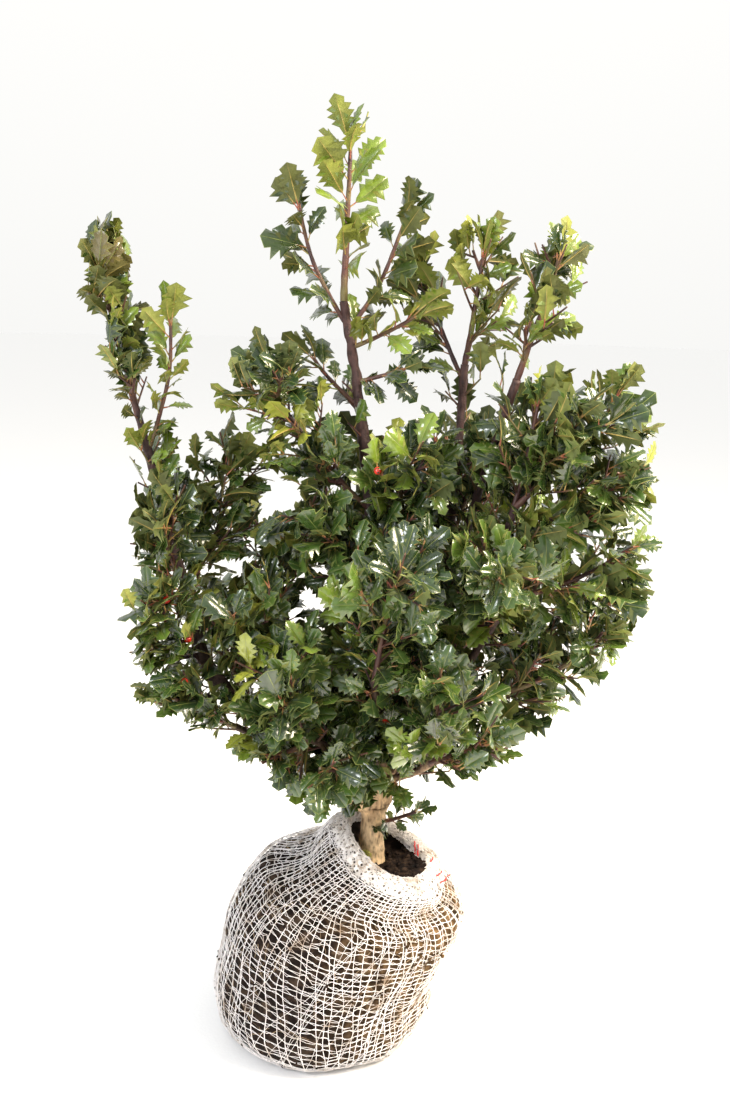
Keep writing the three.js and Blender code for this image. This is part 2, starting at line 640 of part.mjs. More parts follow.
for (const mass of masses) {
  addNode(mass.name, massSolid(mass), "leaf");
}

export default holly;
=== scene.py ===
# %% [markdown]
# # A young holly with its root ball in a knitted net
# This lesson dresses a plain solid model of a holly. The solids already hold the real sizes and
# places: a netted ball of soil, a trunk, sixteen limbs and forty-one masses of foliage. Here each
# of them gets the surface that the eye expects, from bark to spined leaves.
#
# The frame is loaded first, because every piece below is placed by it.

# %% Load the frame
import math

import bmesh
import bpy
import numpy as np
from mathutils import Matrix, Quaternion, Vector, noise


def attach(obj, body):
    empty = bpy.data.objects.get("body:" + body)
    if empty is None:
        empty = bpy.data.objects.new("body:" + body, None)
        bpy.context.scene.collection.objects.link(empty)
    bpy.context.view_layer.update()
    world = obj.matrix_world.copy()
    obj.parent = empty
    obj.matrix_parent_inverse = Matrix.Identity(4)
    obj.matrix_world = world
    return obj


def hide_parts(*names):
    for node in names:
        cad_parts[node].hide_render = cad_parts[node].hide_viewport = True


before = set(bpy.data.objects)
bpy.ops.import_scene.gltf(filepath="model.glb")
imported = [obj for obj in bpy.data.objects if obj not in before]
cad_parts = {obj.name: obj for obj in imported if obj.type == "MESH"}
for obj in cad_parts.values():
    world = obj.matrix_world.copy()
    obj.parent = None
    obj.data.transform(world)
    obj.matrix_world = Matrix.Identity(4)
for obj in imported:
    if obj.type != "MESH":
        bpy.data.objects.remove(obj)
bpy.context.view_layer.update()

print("solid nodes:", len(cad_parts))

# %% [markdown]
# ## The camera
# The plant is seen from a little above its middle, looking slightly down, so the top of the root
# ball shows inside its net. The camera is a pinhole with no depth of field. Its lens follows from
# a focal length that is given in pixels of the finished picture.

# %% Place the camera
PICTURE_HIGH = 1095
FOCAL_PIXELS = 1250
SENSOR_MM = 36
CAMERA_AT = Vector((0.0233, -1.11, 0.7104))
CAMERA_DOWN = math.radians(12.16)
CAMERA_ROLL = math.radians(1.4)
NEAREST_SEEN = 0.01

camera_data = bpy.data.cameras.new("camera")
camera_data.sensor_width = SENSOR_MM
camera_data.lens = SENSOR_MM * FOCAL_PIXELS / PICTURE_HIGH
camera_data.clip_start = NEAREST_SEEN
camera = bpy.data.objects.new("camera", camera_data)
level = Matrix.Rotation(math.pi / 2 - CAMERA_DOWN, 4, "X")
camera.matrix_world = Matrix.Translation(CAMERA_AT) @ level @ Matrix.Rotation(CAMERA_ROLL, 4, "Z")
bpy.context.scene.collection.objects.link(camera)
bpy.context.scene.camera = camera
print("lens in mm:", round(camera_data.lens, 1))

# %% [markdown]
# ## Light
# Glossy leaves need something to reflect, so the whole surroundings glow softly, bright above and
# behind and dimmer in front. That keeps the backdrop white and the leaves dark, yet shining. A
# warm lamp stands high on the right, and a cooler one fills in from the left. One strong small
# lamp alone would give hard shadows, which a bright studio doesn't have.

# %% Set the light
WORLD_FRONT = (0.6, 0.6, 0.585, 1)
WORLD_BACK = (1.1, 1.095, 1.075, 1)
BRIGHT_WAY = (0, 0.6, 0.8)
BRIGHT_FROM = -0.45
BRIGHT_TO = 1.0
LAMPS = [
    # name, place and aim in m, side in m, power in W, colour
    ("warm_lamp", (1.3, -0.35, 1.55), (0, 0, 0.4), 0.8, 92, (1.0, 0.87, 0.68)),
    ("cool_lamp", (-1.2, -1.6, 1.5), (0, 0, 0.35), 0.7, 36, (0.94, 0.96, 1.0)),
]

world = bpy.data.worlds.new("surroundings")
world.use_nodes = True
sky = world.node_tree.nodes
sky_way = sky.new("ShaderNodeTexCoord")
sky_share = sky.new("ShaderNodeVectorMath")
sky_share.operation = "DOT_PRODUCT"
sky_share.inputs[1].default_value = BRIGHT_WAY
sky_tone = sky.new("ShaderNodeMapRange")
sky_tone.inputs["From Min"].default_value = BRIGHT_FROM
sky_tone.inputs["From Max"].default_value = BRIGHT_TO
sky_mix = sky.new("ShaderNodeMix")
sky_mix.data_type = "RGBA"
sky_mix.inputs[6].default_value = WORLD_FRONT
sky_mix.inputs[7].default_value = WORLD_BACK
world.node_tree.links.new(sky_way.outputs["Generated"], sky_share.inputs[0])
world.node_tree.links.new(sky_share.outputs["Value"], sky_tone.inputs["Value"])
world.node_tree.links.new(sky_tone.outputs["Result"], sky_mix.inputs["Factor"])
world.node_tree.links.new(sky_mix.outputs[2], sky["Background"].inputs["Color"])
bpy.context.scene.world = world
bpy.context.scene.view_settings.view_transform = "Standard"


def add_lamp(name, place, aim, size, watts, colour):
    """A square soft lamp at one place that points at another, in metres."""
    data = bpy.data.lights.new(name, "AREA")
    data.size = size
    data.energy = watts
    data.color = colour
    lamp = bpy.data.objects.new(name, data)
    lamp.location = place
    lamp.rotation_euler = (Vector(aim) - Vector(place)).to_track_quat("-Z", "Y").to_euler()
    bpy.context.scene.collection.objects.link(lamp)


for lamp_row in LAMPS:
    add_lamp(*lamp_row)
print("lamps:", len(LAMPS))

# %% [markdown]
# ## Finishes
# A finish is a material made of nodes. Every one below starts from the same shader and reads the
# object's own coordinates, which are metres from the origin here because no piece is ever moved.
# Short helpers keep the node code readable: one adds a node and sets its inputs, and others make
# a noise, a run of colours or a bump. Most surfaces need the same few of them, so the last helper
# makes such a finish in one step.

# %% Helpers for finishes
NOISE_LOW = 0.3
NOISE_HIGH = 0.7


def new_finish(name, **constants):
    """A material whose shader has the given constant inputs."""
    material = bpy.data.materials.new(name)
    material.use_nodes = True
    shader = material.node_tree.nodes["Principled BSDF"]
    for socket, value in constants.items():
        shader.inputs[socket.replace("_", " ")].default_value = value
    return material


def add_node(material, kind, links=None, **settings):
    """A node with its settings, its constant inputs and the sockets that feed it."""
    node = material.node_tree.nodes.new(kind)
    for name, value in settings.items():
        if name in node.inputs:
            node.inputs[name].default_value = value
        else:
            setattr(node, name, value)
    for name, socket in (links or {}).items():
        material.node_tree.links.new(socket, node.inputs[name])
    return node


def place_of(material):
    """The socket with the object's own coordinates."""
    return add_node(material, "ShaderNodeTexCoord").outputs["Object"]


def noise_of(material, scale, detail=3.0, vector=None):
    """A socket with a soft noise; scale is in waves to the metre."""
    links = {"Vector": vector or place_of(material)}
    return add_node(material, "ShaderNodeTexNoise", links, Scale=scale, Detail=detail).outputs["Fac"]


def ramp_of(material, factor, stops):
    """A socket with a colour that runs through stops, each a (place, colour)."""
    ramp = add_node(material, "ShaderNodeValToRGB", {"Fac": factor})
    elements = ramp.color_ramp.elements
    while len(elements) < len(stops):
        elements.new(0.5)
    for element, (place, colour) in zip(elements, stops):
        element.position = place
        element.color = (*colour, 1)
    return ramp.outputs["Color"]


def range_of(material, factor, low, high, start=NOISE_LOW, end=NOISE_HIGH):
    """A socket whose number runs from low to high while the factor runs from start to end."""
    ends = {"From Min": start, "From Max": end, "To Min": low, "To Max": high}
    return add_node(material, "ShaderNodeMapRange", {"Value": factor}, **ends).outputs["Result"]


def feed(material, socket, source):
    """Links a source to one of the shader's inputs."""
    shader = material.node_tree.nodes["Principled BSDF"]
    material.node_tree.links.new(source, shader.inputs[socket])


def roughen(material, height, depth):
    """Bumps the surface by a height socket, by at most depth metres."""
    bump = add_node(material, "ShaderNodeBump", {"Height": height}, Strength=1, Distance=depth)
    feed(material, "Normal", bump.outputs["Normal"])


def blend_of(material, first, second, factor=None, blend_type="MIX"):
    """A socket with two colours mixed, by a factor socket or else in full."""
    links = {} if factor is None else {"Factor": factor}
    mix = add_node(material, "ShaderNodeMix", links, data_type="RGBA", blend_type=blend_type)
    mix.inputs["Factor"].default_value = 1
    material.node_tree.links.new(first, mix.inputs[6])
    material.node_tree.links.new(second, mix.inputs[7])
    return mix.outputs[2]


def noisy_finish(name, tone, stops, bump, rough=None, **constants):
    """A finish whose colour, bump and perhaps roughness follow noises.

    tone is (scale, detail), bump (scale, detail, depth) and rough (scale, detail, low, high).
    """
    finish = new_finish(name, **constants)
    where = place_of(finish)
    feed(finish, "Base Color", ramp_of(finish, noise_of(finish, *tone, where), stops))
    if rough:
        dull = noise_of(finish, *rough[:2], where)
        feed(finish, "Roughness", range_of(finish, dull, *rough[2:]))
    roughen(finish, noise_of(finish, *bump[:2], where), bump[2])
    return finish


# %% [markdown]
# ## Floor
# The floor is a wide pale disc. Its edge lies so far off that it reads as open ground, which runs
# into the bright backdrop. A circle with a filled middle is all it needs. It is kept apart from the
# plant's pieces, because it is no piece of the plant.

# %% Lay the floor
FLOOR_RADIUS = 14
FLOOR_SIDES = 64

floor_bm = bmesh.new()
bmesh.ops.create_circle(floor_bm, cap_ends=True, segments=FLOOR_SIDES, radius=FLOOR_RADIUS)
floor_mesh = bpy.data.meshes.new("floor")
floor_bm.to_mesh(floor_mesh)
floor_bm.free()
floor = bpy.data.objects.new("floor", floor_mesh)
bpy.context.scene.collection.objects.link(floor)
floor_finish = new_finish("floor_finish", Base_Color=(0.98, 0.98, 0.98, 1), Roughness=0.9)
roughen(floor_finish, noise_of(floor_finish, 300), 0.0002)
floor_mesh.materials.append(floor_finish)
print("floor radius in m:", FLOOR_RADIUS)

# %% [markdown]
# ## Millimetres and seeded chance
# The plant is measured in millimetres, because a leaf is easier to picture as 36 than as 0.036,
# and every mesh is scaled to metres when it is made. Plants grow irregularly, so chance is needed,
# but a script should give the same plant each time. A small number generator with a seed does
# that, and it is the same rule that grew the solid masses. The noise that bends limbs and threads
# gets a seed as well, because it would otherwise start anew in each run.

# %% Units, chance and arcs
MM = 0.001
UP = Vector((0, 0, 1))
FULL_TURN = 2 * math.pi
GOLDEN_TURN = math.radians(137.5)
MASK = 0xFFFFFFFF


def seeded_random(seed):
    """A function that draws the same numbers from 0 to 1 for the same seed."""
    state = seed & MASK

    def draw():
        nonlocal state
        state = (state + 0x6D2B79F5) & MASK
        mixed = ((state ^ (state >> 15)) * (state | 1)) & MASK
        mixed ^= (mixed + (mixed ^ (mixed >> 7)) * (mixed | 61)) & MASK
        return (mixed ^ (mixed >> 14)) / 4294967296

    return draw


def lerp(low, high, share):
    return low + (high - low) * share


def smooth_share(value, low, high):
    """0 below low, 1 above high, and an even S between them."""
    share = min(1, max(0, (value - low) / (high - low)))
    return share * share * (3 - 2 * share)


def square_to(direction, hint):
    """A unit vector square to the direction, on the side of the hint."""
    side = hint - direction * hint.dot(direction)
    if side.length < 1e-3:
        return square_to(direction, Vector((1, 0, 0)))
    return side.normalized()


class Arc:
    """An even bend from foot to tip that turns upward by lift degrees on the way."""

    def __init__(self, foot, tip, lift):
        chord = tip - foot
        above = square_to(chord.normalized(), UP)
        drop = chord.length / 2 * math.tan(math.radians(lift / 2))
        self.foot = foot
        self.bend = (foot + tip) / 2 - above * drop
        self.tip = tip

    def point(self, along):
        back = 1 - along
        return self.foot * back**2 + self.bend * 2 * along * back + self.tip * along**2

    def heading(self, along):
        way = (self.bend - self.foot).lerp(self.tip - self.bend, along)
        return way.normalized()

    def length(self, parts=16):
        points = [self.point(i / parts) for i in range(parts + 1)]
        return sum((b - a).length for a, b in zip(points, points[1:]))


WANDER_MM = 1.6
WANDER_WAVE_MM = 46
NOISE_SEED = 7

noise.seed_set(NOISE_SEED)


def wander(point):
    """The point moved a little, so that no limb or twig is a perfect arc."""
    return point + noise.noise_vector(point / WANDER_WAVE_MM) * WANDER_MM


print("a unit of chance:", round(seeded_random(1)(), 4))

# %% [markdown]
# ## The limbs' skeleton
# A limb is a tapering arc that starts on another limb. Its row names the limb that carries it, the
# station there from 0 to 1, its tip, how many degrees it turns upward, and its two radii. The
# rows are the solids' own sizes, so the bark below lies where the solids are.

# %% Trunk and limbs as arcs
TRUNK_FOOT = Vector((34, 0, 158))
TRUNK_TIP = Vector((39, 0, 222))
TRUNK_RADII = (16, 12.5)
LIMBS = [
    # name, carrier, station on it, tip, lift in degrees, radius at the foot and at the tip
    ("leader", "trunk", 1, (0, 0, 690), -12, 11.5, 3.8),
    ("left_stem", "trunk", 0.96, (-120, -28, 368), 24, 9.5, 7),
    ("left_shoot", "left_stem", 1, (-176, 0, 566), -4, 6.6, 4),
    ("right_stem", "trunk", 0.8, (99, 16, 430), 14, 9, 6.4),
    ("right_inner_shoot", "right_stem", 1, (110, 30, 636), 0, 6, 3.8),
    ("right_outer_shoot", "right_stem", 0.86, (152, -18, 628), -4, 5.6, 3.8),
    ("right_high_bough", "right_stem", 0.66, (152, -48, 520), 16, 4.8, 3.4),
    ("right_mid_bough", "right_stem", 0.42, (150, -52, 440), 18, 4.8, 3.4),
    ("right_low_bough", "right_stem", 0.16, (140, -32, 340), 16, 4.8, 3.4),
    ("front_right_bough", "leader", 0.05, (86, -70, 292), 14, 4.4, 3.2),
    ("front_left_bough", "leader", 0.1, (-24, -70, 314), 14, 4.4, 3.2),
    ("front_bough", "leader", 0.17, (34, -84, 372), 18, 4.4, 3.2),
    ("left_low_bough", "left_stem", 0.5, (-88, -52, 316), 8, 4.2, 3),
    ("back_left_bough", "leader", 0.14, (-56, 84, 350), 18, 4.8, 3.4),
    ("back_right_bough", "leader", 0.2, (104, 92, 382), 18, 4.8, 3.4),
    ("back_bough", "leader", 0.08, (28, 92, 322), 14, 4.6, 3.2),
]
TRUNK_FLARE = 0.3
LIMB_FLARE = 0.25
FLARE_POWER = 9


class Stalk:
    """A stretch of wood: an arc, its radius at the foot and tip, and how it flares at its foot."""

    def __init__(self, name, arc, foot_radius, tip_radius, flare=0.0):
        self.name = name
        self.arc = arc
        self.foot_radius = foot_radius
        self.tip_radius = tip_radius
        self.flare = flare
        self.leafy = False

    def radius(self, along):
        flared = 1 + self.flare * (1 - along) ** FLARE_POWER
        return lerp(self.foot_radius, self.tip_radius, along) * flared


limbs = {"trunk": Stalk("trunk", Arc(TRUNK_FOOT, TRUNK_TIP, 0), *TRUNK_RADII, TRUNK_FLARE)}
for name, on, at, tip, lift, foot_radius, tip_radius in LIMBS:
    arc = Arc(limbs[on].arc.point(at), Vector(tip), lift)
    limbs[name] = Stalk(name, arc, foot_radius, tip_radius, LIMB_FLARE if at < 1 else 0)
print("limbs:", len(limbs), "of", round(sum(limb.arc.length() for limb in limbs.values())), "mm")

# %% [markdown]
# ## Bark
# Bark could be painted on smooth tubes, but the relief of a young trunk shows in its outline: old
# leaf scars swell the stem every few centimetres, the lower wood is lumpy, and a limb is slender
# along its middle. So each limb is swept as a real mesh. A circle is drawn at the foot, extruded
# station by station and turned to follow the arc, and then every corner is pushed out or in along
# its normal by a noise.

# %% Sweep the limbs
BARK_SIDES = 14
BARK_STEP_MM = 3.0
SCAR_STEP_MM = 21
SCAR_RISE = 0.05
SCAR_POWER = 6
WAIST = 0.18
LUMP_MM = 2.2
LUMP_WAVE_MM = 11
GRAIN_MM = 0.9
GRAIN_WAVE_MM = 3.2
GRAIN_STRETCH = 3


def new_piece(name, mesh, finishes):
    """A finished mesh as a piece of the plant, with its materials."""
    for finish in finishes:
        mesh.materials.append(finish)
    piece = bpy.data.objects.new(name, mesh)
    bpy.context.scene.collection.objects.link(piece)
    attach(piece, "root")
    return piece


def rings_along(stalk, step):
    """One matrix for each station, which sets a unit circle square to the stalk there."""
    count = max(2, round(stalk.arc.length() / step))
    across = UP
    rings = []
    for i in range(count + 1):
        along = i / count
        heading = stalk.arc.heading(along)
        across = square_to(heading, across)
        turned = Matrix((across, heading.cross(across), heading)).transposed().to_4x4()
        scars = math.cos(FULL_TURN * along * stalk.arc.length() / SCAR_STEP_MM)
        waist = 1 - WAIST * math.sin(math.pi * along)
        radius = stalk.radius(along) * waist * (1 + SCAR_RISE * max(0, scars) ** SCAR_POWER)
        place = Matrix.Translation(wander(stalk.arc.point(along)))
        rings.append(place @ turned @ Matrix.Diagonal((radius, radius, radius, 1)))
    return rings


def extrude_ring(bm, edges):
    """Extrudes a closed ring of edges, and gives the new ring's corners and edges."""
    geom = bmesh.ops.extrude_edge_only(bm, edges=edges)["geom"]
    verts = [item for item in geom if isinstance(item, bmesh.types.BMVert)]
    added = [item for item in geom if isinstance(item, bmesh.types.BMEdge)]
    ring = set(verts)
    return verts, [edge for edge in added if ring.issuperset(edge.verts)]


def sweep(rings, sides):
    """A closed tube through the rings, as a bmesh in mm."""
    bm = bmesh.new()
    bmesh.ops.create_circle(bm, cap_ends=True, segments=sides, radius=1, matrix=rings[0])
    edges = bm.edges[:]
    for before, ring in zip(rings, rings[1:]):
        verts, edges = extrude_ring(bm, edges)
        bmesh.ops.transform(bm, matrix=ring @ before.inverted(), verts=verts)
    bmesh.ops.edgeloop_fill(bm, edges=edges)
    bmesh.ops.recalc_face_normals(bm, faces=bm.faces)
    return bm


def relief(bm, lump, grain):
    """Pushes each corner along its normal by a slow and a quick noise, in mm."""
    bm.normal_update()
    moves = []
    for vert in bm.verts:
        high = lump * noise.noise(vert.co / LUMP_WAVE_MM)
        stretched = Vector((vert.co.x, vert.co.y, vert.co.z / GRAIN_STRETCH)) / GRAIN_WAVE_MM
        moves.append(vert.normal * (high + grain * noise.noise(stretched)))
    for vert, move in zip(bm.verts, moves):
        vert.co += move


def mesh_from(bm, name):
    """The bmesh as a smooth mesh in metres."""
    bmesh.ops.scale(bm, vec=(MM, MM, MM), verts=bm.verts)
    for face in bm.faces:
        face.smooth = True
    mesh = bpy.data.meshes.new(name)
    bm.to_mesh(mesh)
    bm.free()
    return mesh


bark_finish = new_finish("bark_finish", Roughness=0.75)
bark_place = place_of(bark_finish)
bark_height = add_node(bark_finish, "ShaderNodeSeparateXYZ", {"Vector": bark_place}).outputs["Z"]
bark_patches = noise_of(bark_finish, 70, 6, bark_place)
patch_shift = add_node(bark_finish, "ShaderNodeMath", {0: bark_patches}, operation="MULTIPLY_ADD")
patch_shift.inputs[1].default_value = 0.12
bark_finish.node_tree.links.new(bark_height, patch_shift.inputs[2])
bark_tone = ramp_of(
    bark_finish,
    patch_shift.outputs[0],
    [
        (0.245, (0.72, 0.52, 0.31)),
        (0.3, (0.4, 0.26, 0.14)),
        (0.36, (0.1, 0.06, 0.042)),
        (0.52, (0.062, 0.033, 0.033)),
        (0.74, (0.075, 0.034, 0.03)),
    ],
)
bark_grain = add_node(bark_finish, "ShaderNodeMapping", {"Vector": bark_place}, Scale=(1, 1, 0.4))
bark_flecks = ramp_of(
    bark_finish,
    noise_of(bark_finish, 330, 10, bark_grain.outputs[0]),
    [
        (0.34, (0.36, 0.33, 0.3)),
        (0.46, (0.84, 0.82, 0.8)),
        (0.56, (1, 1, 1)),
        (0.68, (1.3, 1.27, 1.2)),
    ],
)
bark_colour = blend_of(bark_finish, bark_tone, bark_flecks, blend_type="MULTIPLY")
feed(bark_finish, "Base Color", bark_colour)
feed(bark_finish, "Roughness", range_of(bark_finish, bark_patches, 0.45, 0.85))
roughen(bark_finish, noise_of(bark_finish, 700, 5, bark_place), 0.0008)

for name, limb in limbs.items():
    thick = limb.foot_radius / TRUNK_RADII[0]
    limb_bm = sweep(rings_along(limb, BARK_STEP_MM), BARK_SIDES)
    relief(limb_bm, LUMP_MM * thick, GRAIN_MM * thick)
    piece = new_piece(f"{name}_bark", mesh_from(limb_bm, name), [bark_finish])
    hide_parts(name)
print("limbs swept:", len(limbs))

# %% [markdown]
# ## The shape of the root ball
# The ball sat down when it was lifted: it leans to the right, its shoulder slopes to the front
# right, and its neck draws in under the net's gathered rim. A spin about an axis can't lean, so
# the surface is worked out first as a rule. For each turn round the ball, a smooth line runs from
# the neck down to the edge of the flat underside through the same stations as the solid. A table
# of that surface then tells every clod and thread where it lies.

# %% Rule for the ball's surface
BALL_PROFILE = [(80, 0), (97, 8), (105, 28), (107, 60), (107, 98), (103, 122), (92, 137), (74, 149)]
BALL_UNDER = (58, 0)
BALL_RIM = 51
RIM_INSET = 12
BALL_TOP = 172
BALL_DEPTH_SHARE = 1.04
BALL_FOOT_X = -9
BALL_LEAN = 50
BALL_TILT_FROM = 60
BALL_TILT_X = -0.2
BALL_TILT_Y = 0.12
BALL_FLOOR = 1.6
COLLAR_X = 55
COLLAR_Y = -8
COLLAR_Z = 170
COLLAR_SLOPE_X = -0.24
COLLAR_SLOPE_Y = 0.2
COLLAR_PEAK = 22
COLLAR_PEAK_TURN = math.radians(172)
TABLE_TURNS = 240
TABLE_ROWS = 160
STEPS_A_ROW = 12


def unit_normals(down, around):
    """Unit vectors square to two arrays of ways along a surface."""
    normal = np.cross(down, around)
    return normal / np.linalg.norm(normal, axis=-1, keepdims=True)


def roll_height(x, y):
    """How high the middle of the net's gathered rim lies, in mm."""
    slope = COLLAR_SLOPE_X * (x - COLLAR_X) + COLLAR_SLOPE_Y * (y - COLLAR_Y)
    turn = np.arctan2(y - COLLAR_Y, x - COLLAR_X)
    rise = 0.5 + 0.5 * np.cos(turn - COLLAR_PEAK_TURN)
    return COLLAR_Z + slope + COLLAR_PEAK * rise * rise


def ball_station(radius, z, turns):
    """The points of one station of the profile, for all turns."""
    x = radius * np.cos(turns) + BALL_FOOT_X + BALL_LEAN * (z / BALL_TOP) ** 2
    y = radius * np.sin(turns) * BALL_DEPTH_SHARE
    share = smooth_share(z, BALL_TILT_FROM, BALL_TOP)
    tilt = share * (BALL_TILT_X * (x - COLLAR_X) + BALL_TILT_Y * (y - COLLAR_Y))
    return np.stack([x, y, np.maximum(BALL_FLOOR, z + tilt)], axis=-1)


def neck_station(radius, turns):
    """The points of a ring under the gathered rim."""
    x = COLLAR_X + radius * np.cos(turns)
    y = COLLAR_Y + radius * np.sin(turns)
    return np.stack([x, y, roll_height(x, y)], axis=-1)


def ball_table():
    """The surface as an array of points: turns by rows from the neck down, by 3."""
    turns = np.arange(TABLE_TURNS) * FULL_TURN / TABLE_TURNS
    stations = [neck_station(radius, turns) for radius in (BALL_RIM - RIM_INSET, BALL_RIM)]
    stations += [ball_station(r, z, turns) for r, z in reversed(BALL_PROFILE)]
    stations += [ball_station(*BALL_UNDER, turns)]
    knots = np.stack(stations, axis=1)
    fine = np.linspace(1, knots.shape[1] - 2, STEPS_A_ROW * TABLE_ROWS)
    start = np.minimum(fine.astype(int), knots.shape[1] - 3)
    t = (fine - start)[None, :, None]
    p0, p1, p2, p3 = (knots[:, start + k] for k in (-1, 0, 1, 2))
    line = 2 * p1 + (p2 - p0) * t
    line = line + (2 * p0 - 5 * p1 + 4 * p2 - p3) * t**2 + (3 * p1 - p0 - 3 * p2 + p3) * t**3
    line = line / 2
    table = np.empty((TABLE_TURNS, TABLE_ROWS, 3))
    for i, points in enumerate(line):
        steps = np.linalg.norm(np.diff(points, axis=0), axis=1)
        share = np.concatenate([[0], np.cumsum(steps)]) / steps.sum()
        for axis in range(3):
            table[i, :, axis] = np.interp(np.linspace(0, 1, TABLE_ROWS), share, points[:, axis])
    return table


SHOULDERS = [
    # a swelling or a dent: its turn in degrees, its share, how far out in mm, and its two spreads
    (180, 0.30, 5.5, 30, 0.06),
    (178, 0.16, -9.5, 38, 0.08),
    (-5, 0.24, 6.5, 40, 0.16),
    (-30, 0.66, -5.0, 30, 0.12),
    (-110, 0.80, 3.0, 35, 0.10),
    (70, 0.40, 4.0, 30, 0.12),
]
SWELL_WAVE_MM = 44
SWELL_MM = 3.4
FOOT_FADE = 8
PROBE = 0.02


def swollen(table):
    """The surface with its shoulders, its dents and an uneven swell."""
    around = np.roll(table, -1, axis=0) - np.roll(table, 1, axis=0)
    normal = unit_normals(np.gradient(table, axis=1), around)
    turns = np.arange(TABLE_TURNS)[:, None] * 360 / TABLE_TURNS
    shares = np.linspace(0, 1, TABLE_ROWS)[None, :]
    waves = [noise.noise(Vector(point) / SWELL_WAVE_MM) for point in table.reshape(-1, 3)]
    out = SWELL_MM * np.reshape(waves, table.shape[:2])
    for turn, share, rise, spread, width in SHOULDERS:
        apart = (turns - turn + 180) % 360 - 180
        out += rise * np.exp(-((apart / spread) ** 2) - ((shares - share) / width) ** 2)
    fade = np.minimum(1, (1 - shares) * FOOT_FADE)
    return table + normal * (out * fade)[..., None]


BALL_TABLE = swollen(ball_table())


def on_ball(turns, shares, lift=0.0):
    """Points on the ball: a turn in radians, a share from 0 at the neck to 1 at the underside."""

    def read(turns, shares):
        column = (np.asarray(turns) / FULL_TURN % 1) * TABLE_TURNS
        row = np.clip(shares, 0, 1) * (TABLE_ROWS - 1)
        i = column.astype(int) % TABLE_TURNS
        j = np.minimum(row.astype(int), TABLE_ROWS - 2)
        u = (column - np.floor(column))[..., None]
        v = (row - j)[..., None]
        near = BALL_TABLE[i, j] * (1 - v) + BALL_TABLE[i, j + 1] * v
        beyond = (i + 1) % TABLE_TURNS
        far = BALL_TABLE[beyond, j] * (1 - v) + BALL_TABLE[beyond, j + 1] * v
        return near * (1 - u) + far * u

    points = read(turns, shares)
    low = np.clip(np.asarray(shares) - PROBE / 2, 0, 1 - PROBE)
    around = read(np.asarray(turns) + PROBE, shares) - read(np.asarray(turns) - PROBE, shares)
    down = read(turns, low + PROBE) - read(turns, low)
    return points + unit_normals(down, around) * np.asarray(lift)[..., None]


spans = BALL_TABLE[..., 0].min(), BALL_TABLE[..., 0].max()
print("ball from x", round(spans[0]), "to", round(spans[1]), "mm")

# %% [markdown]
# ## Soil
# The soil shows between the threads as dark moist clods with fine tan roots. Its colour turns to a
# lighter dusty brown towards the right and below the top: partly real dust, partly painted light on
# the side that the warm lamp lights, while the darker soil elsewhere is partly painted shade. One
# vertical line of points spun round makes a clean tube of quads with no seam, and each of its
# corners is then put on the ball's surface and pushed in by a noise with three wave lengths: lumps,
# clods and crumbs. At the top, the last ring is extruded inwards and down to make the hollow inside
# the net's rim.

# %% Soil of the root ball
SOIL_TURNS = 224
SOIL_ROWS = 96
SOIL_WAVES = [(26, 2.6), (9, 2.0), (3.6, 1.3)]
SOIL_BED = 166
SOIL_RINGS = [(43, -7, 0.0), (38, -12, 0.35)]
SOIL_RINGS += [(radius, 0, 1.0) for radius in range(34, 8, -4)]
LOOSE_TURN = -46
LOOSE_TURN_SPREAD = 26
LOOSE_SHARE = 0.4
LOOSE_SHARE_SPREAD = 0.15
LOOSE_FILL = 0.55
LOOSE_RISE = 0.8
SOIL_RISE = 0.4
BAND_SINK = 3.5
BAND_SINK_SHARE = 0.09
FLAT_BELOW_Z = 4
MIDDLE_Z = 60
CLOD_MEAN = 2.9
CLOD_GAIN = 1.5
DUST_AND_LIGHT_X = (-0.02, 0.1)
DUST_AND_LIGHT_Z = (0.163, 0.145)


def soil_depth(point):
    """How far the soil lies under the net at a point, in mm."""
    return sum(deep * (0.5 + 0.5 * noise.noise(point / wave)) for wave, deep in SOIL_WAVES)


def loose_earth(turns, shares):
    """1 where loose earth has run over the threads, falling to 0 round it."""
    apart = (np.degrees(turns) - LOOSE_TURN + 180) % 360 - 180
    off = (np.asarray(shares) - LOOSE_SHARE) / LOOSE_SHARE_SPREAD
    return np.exp(-((apart / LOOSE_TURN_SPREAD) ** 2) - off**2)


def spin_round(bm, steps):
    """Spins everything drawn so far round the upright axis into a closed surface."""
    bmesh.ops.spin(
        bm,
        geom=bm.verts[:] + bm.edges[:],
        axis=(0, 0, 1),
        cent=(0, 0, 0),
        steps=steps,
        angle=FULL_TURN,
        use_merge=True,
    )


soil_bm = bmesh.new()
line = [soil_bm.verts.new((1, 0, i)) for i in range(SOIL_ROWS + 1)]
for pair in zip(line, line[1:]):
    soil_bm.edges.new(pair)
spin_round(soil_bm, SOIL_TURNS)
unit = np.array([vert.co for vert in soil_bm.verts])
unit_turns = np.arctan2(unit[:, 1], unit[:, 0])
unit_shares = unit[:, 2] / SOIL_ROWS
surface = on_ball(unit_turns, unit_shares, 0.0)
inside = on_ball(unit_turns, unit_shares, -1.0) - surface
looseness = loose_earth(unit_turns, unit_shares)
under_band = BAND_SINK * np.clip(1 - unit_shares / BAND_SINK_SHARE, 0, 1)
for vert, point, inward, loose, low in zip(soil_bm.verts, surface, inside, looseness, under_band):
    place = Vector(point)
    deep = soil_depth(place) * (1 - LOOSE_FILL * loose) - SOIL_RISE - LOOSE_RISE * loose + low
    vert.co = place + Vector(inward) * (deep if place.z > FLAT_BELOW_Z else 0)
rim_edges = [edge for edge in soil_bm.edges if edge.is_boundary]
ring_edges = [edge for edge in rim_edges if edge.verts[0].co.z > MIDDLE_Z]
bottom_edges = [edge for edge in rim_edges if edge.verts[0].co.z < MIDDLE_Z]
bmesh.ops.edgeloop_fill(soil_bm, edges=bottom_edges)
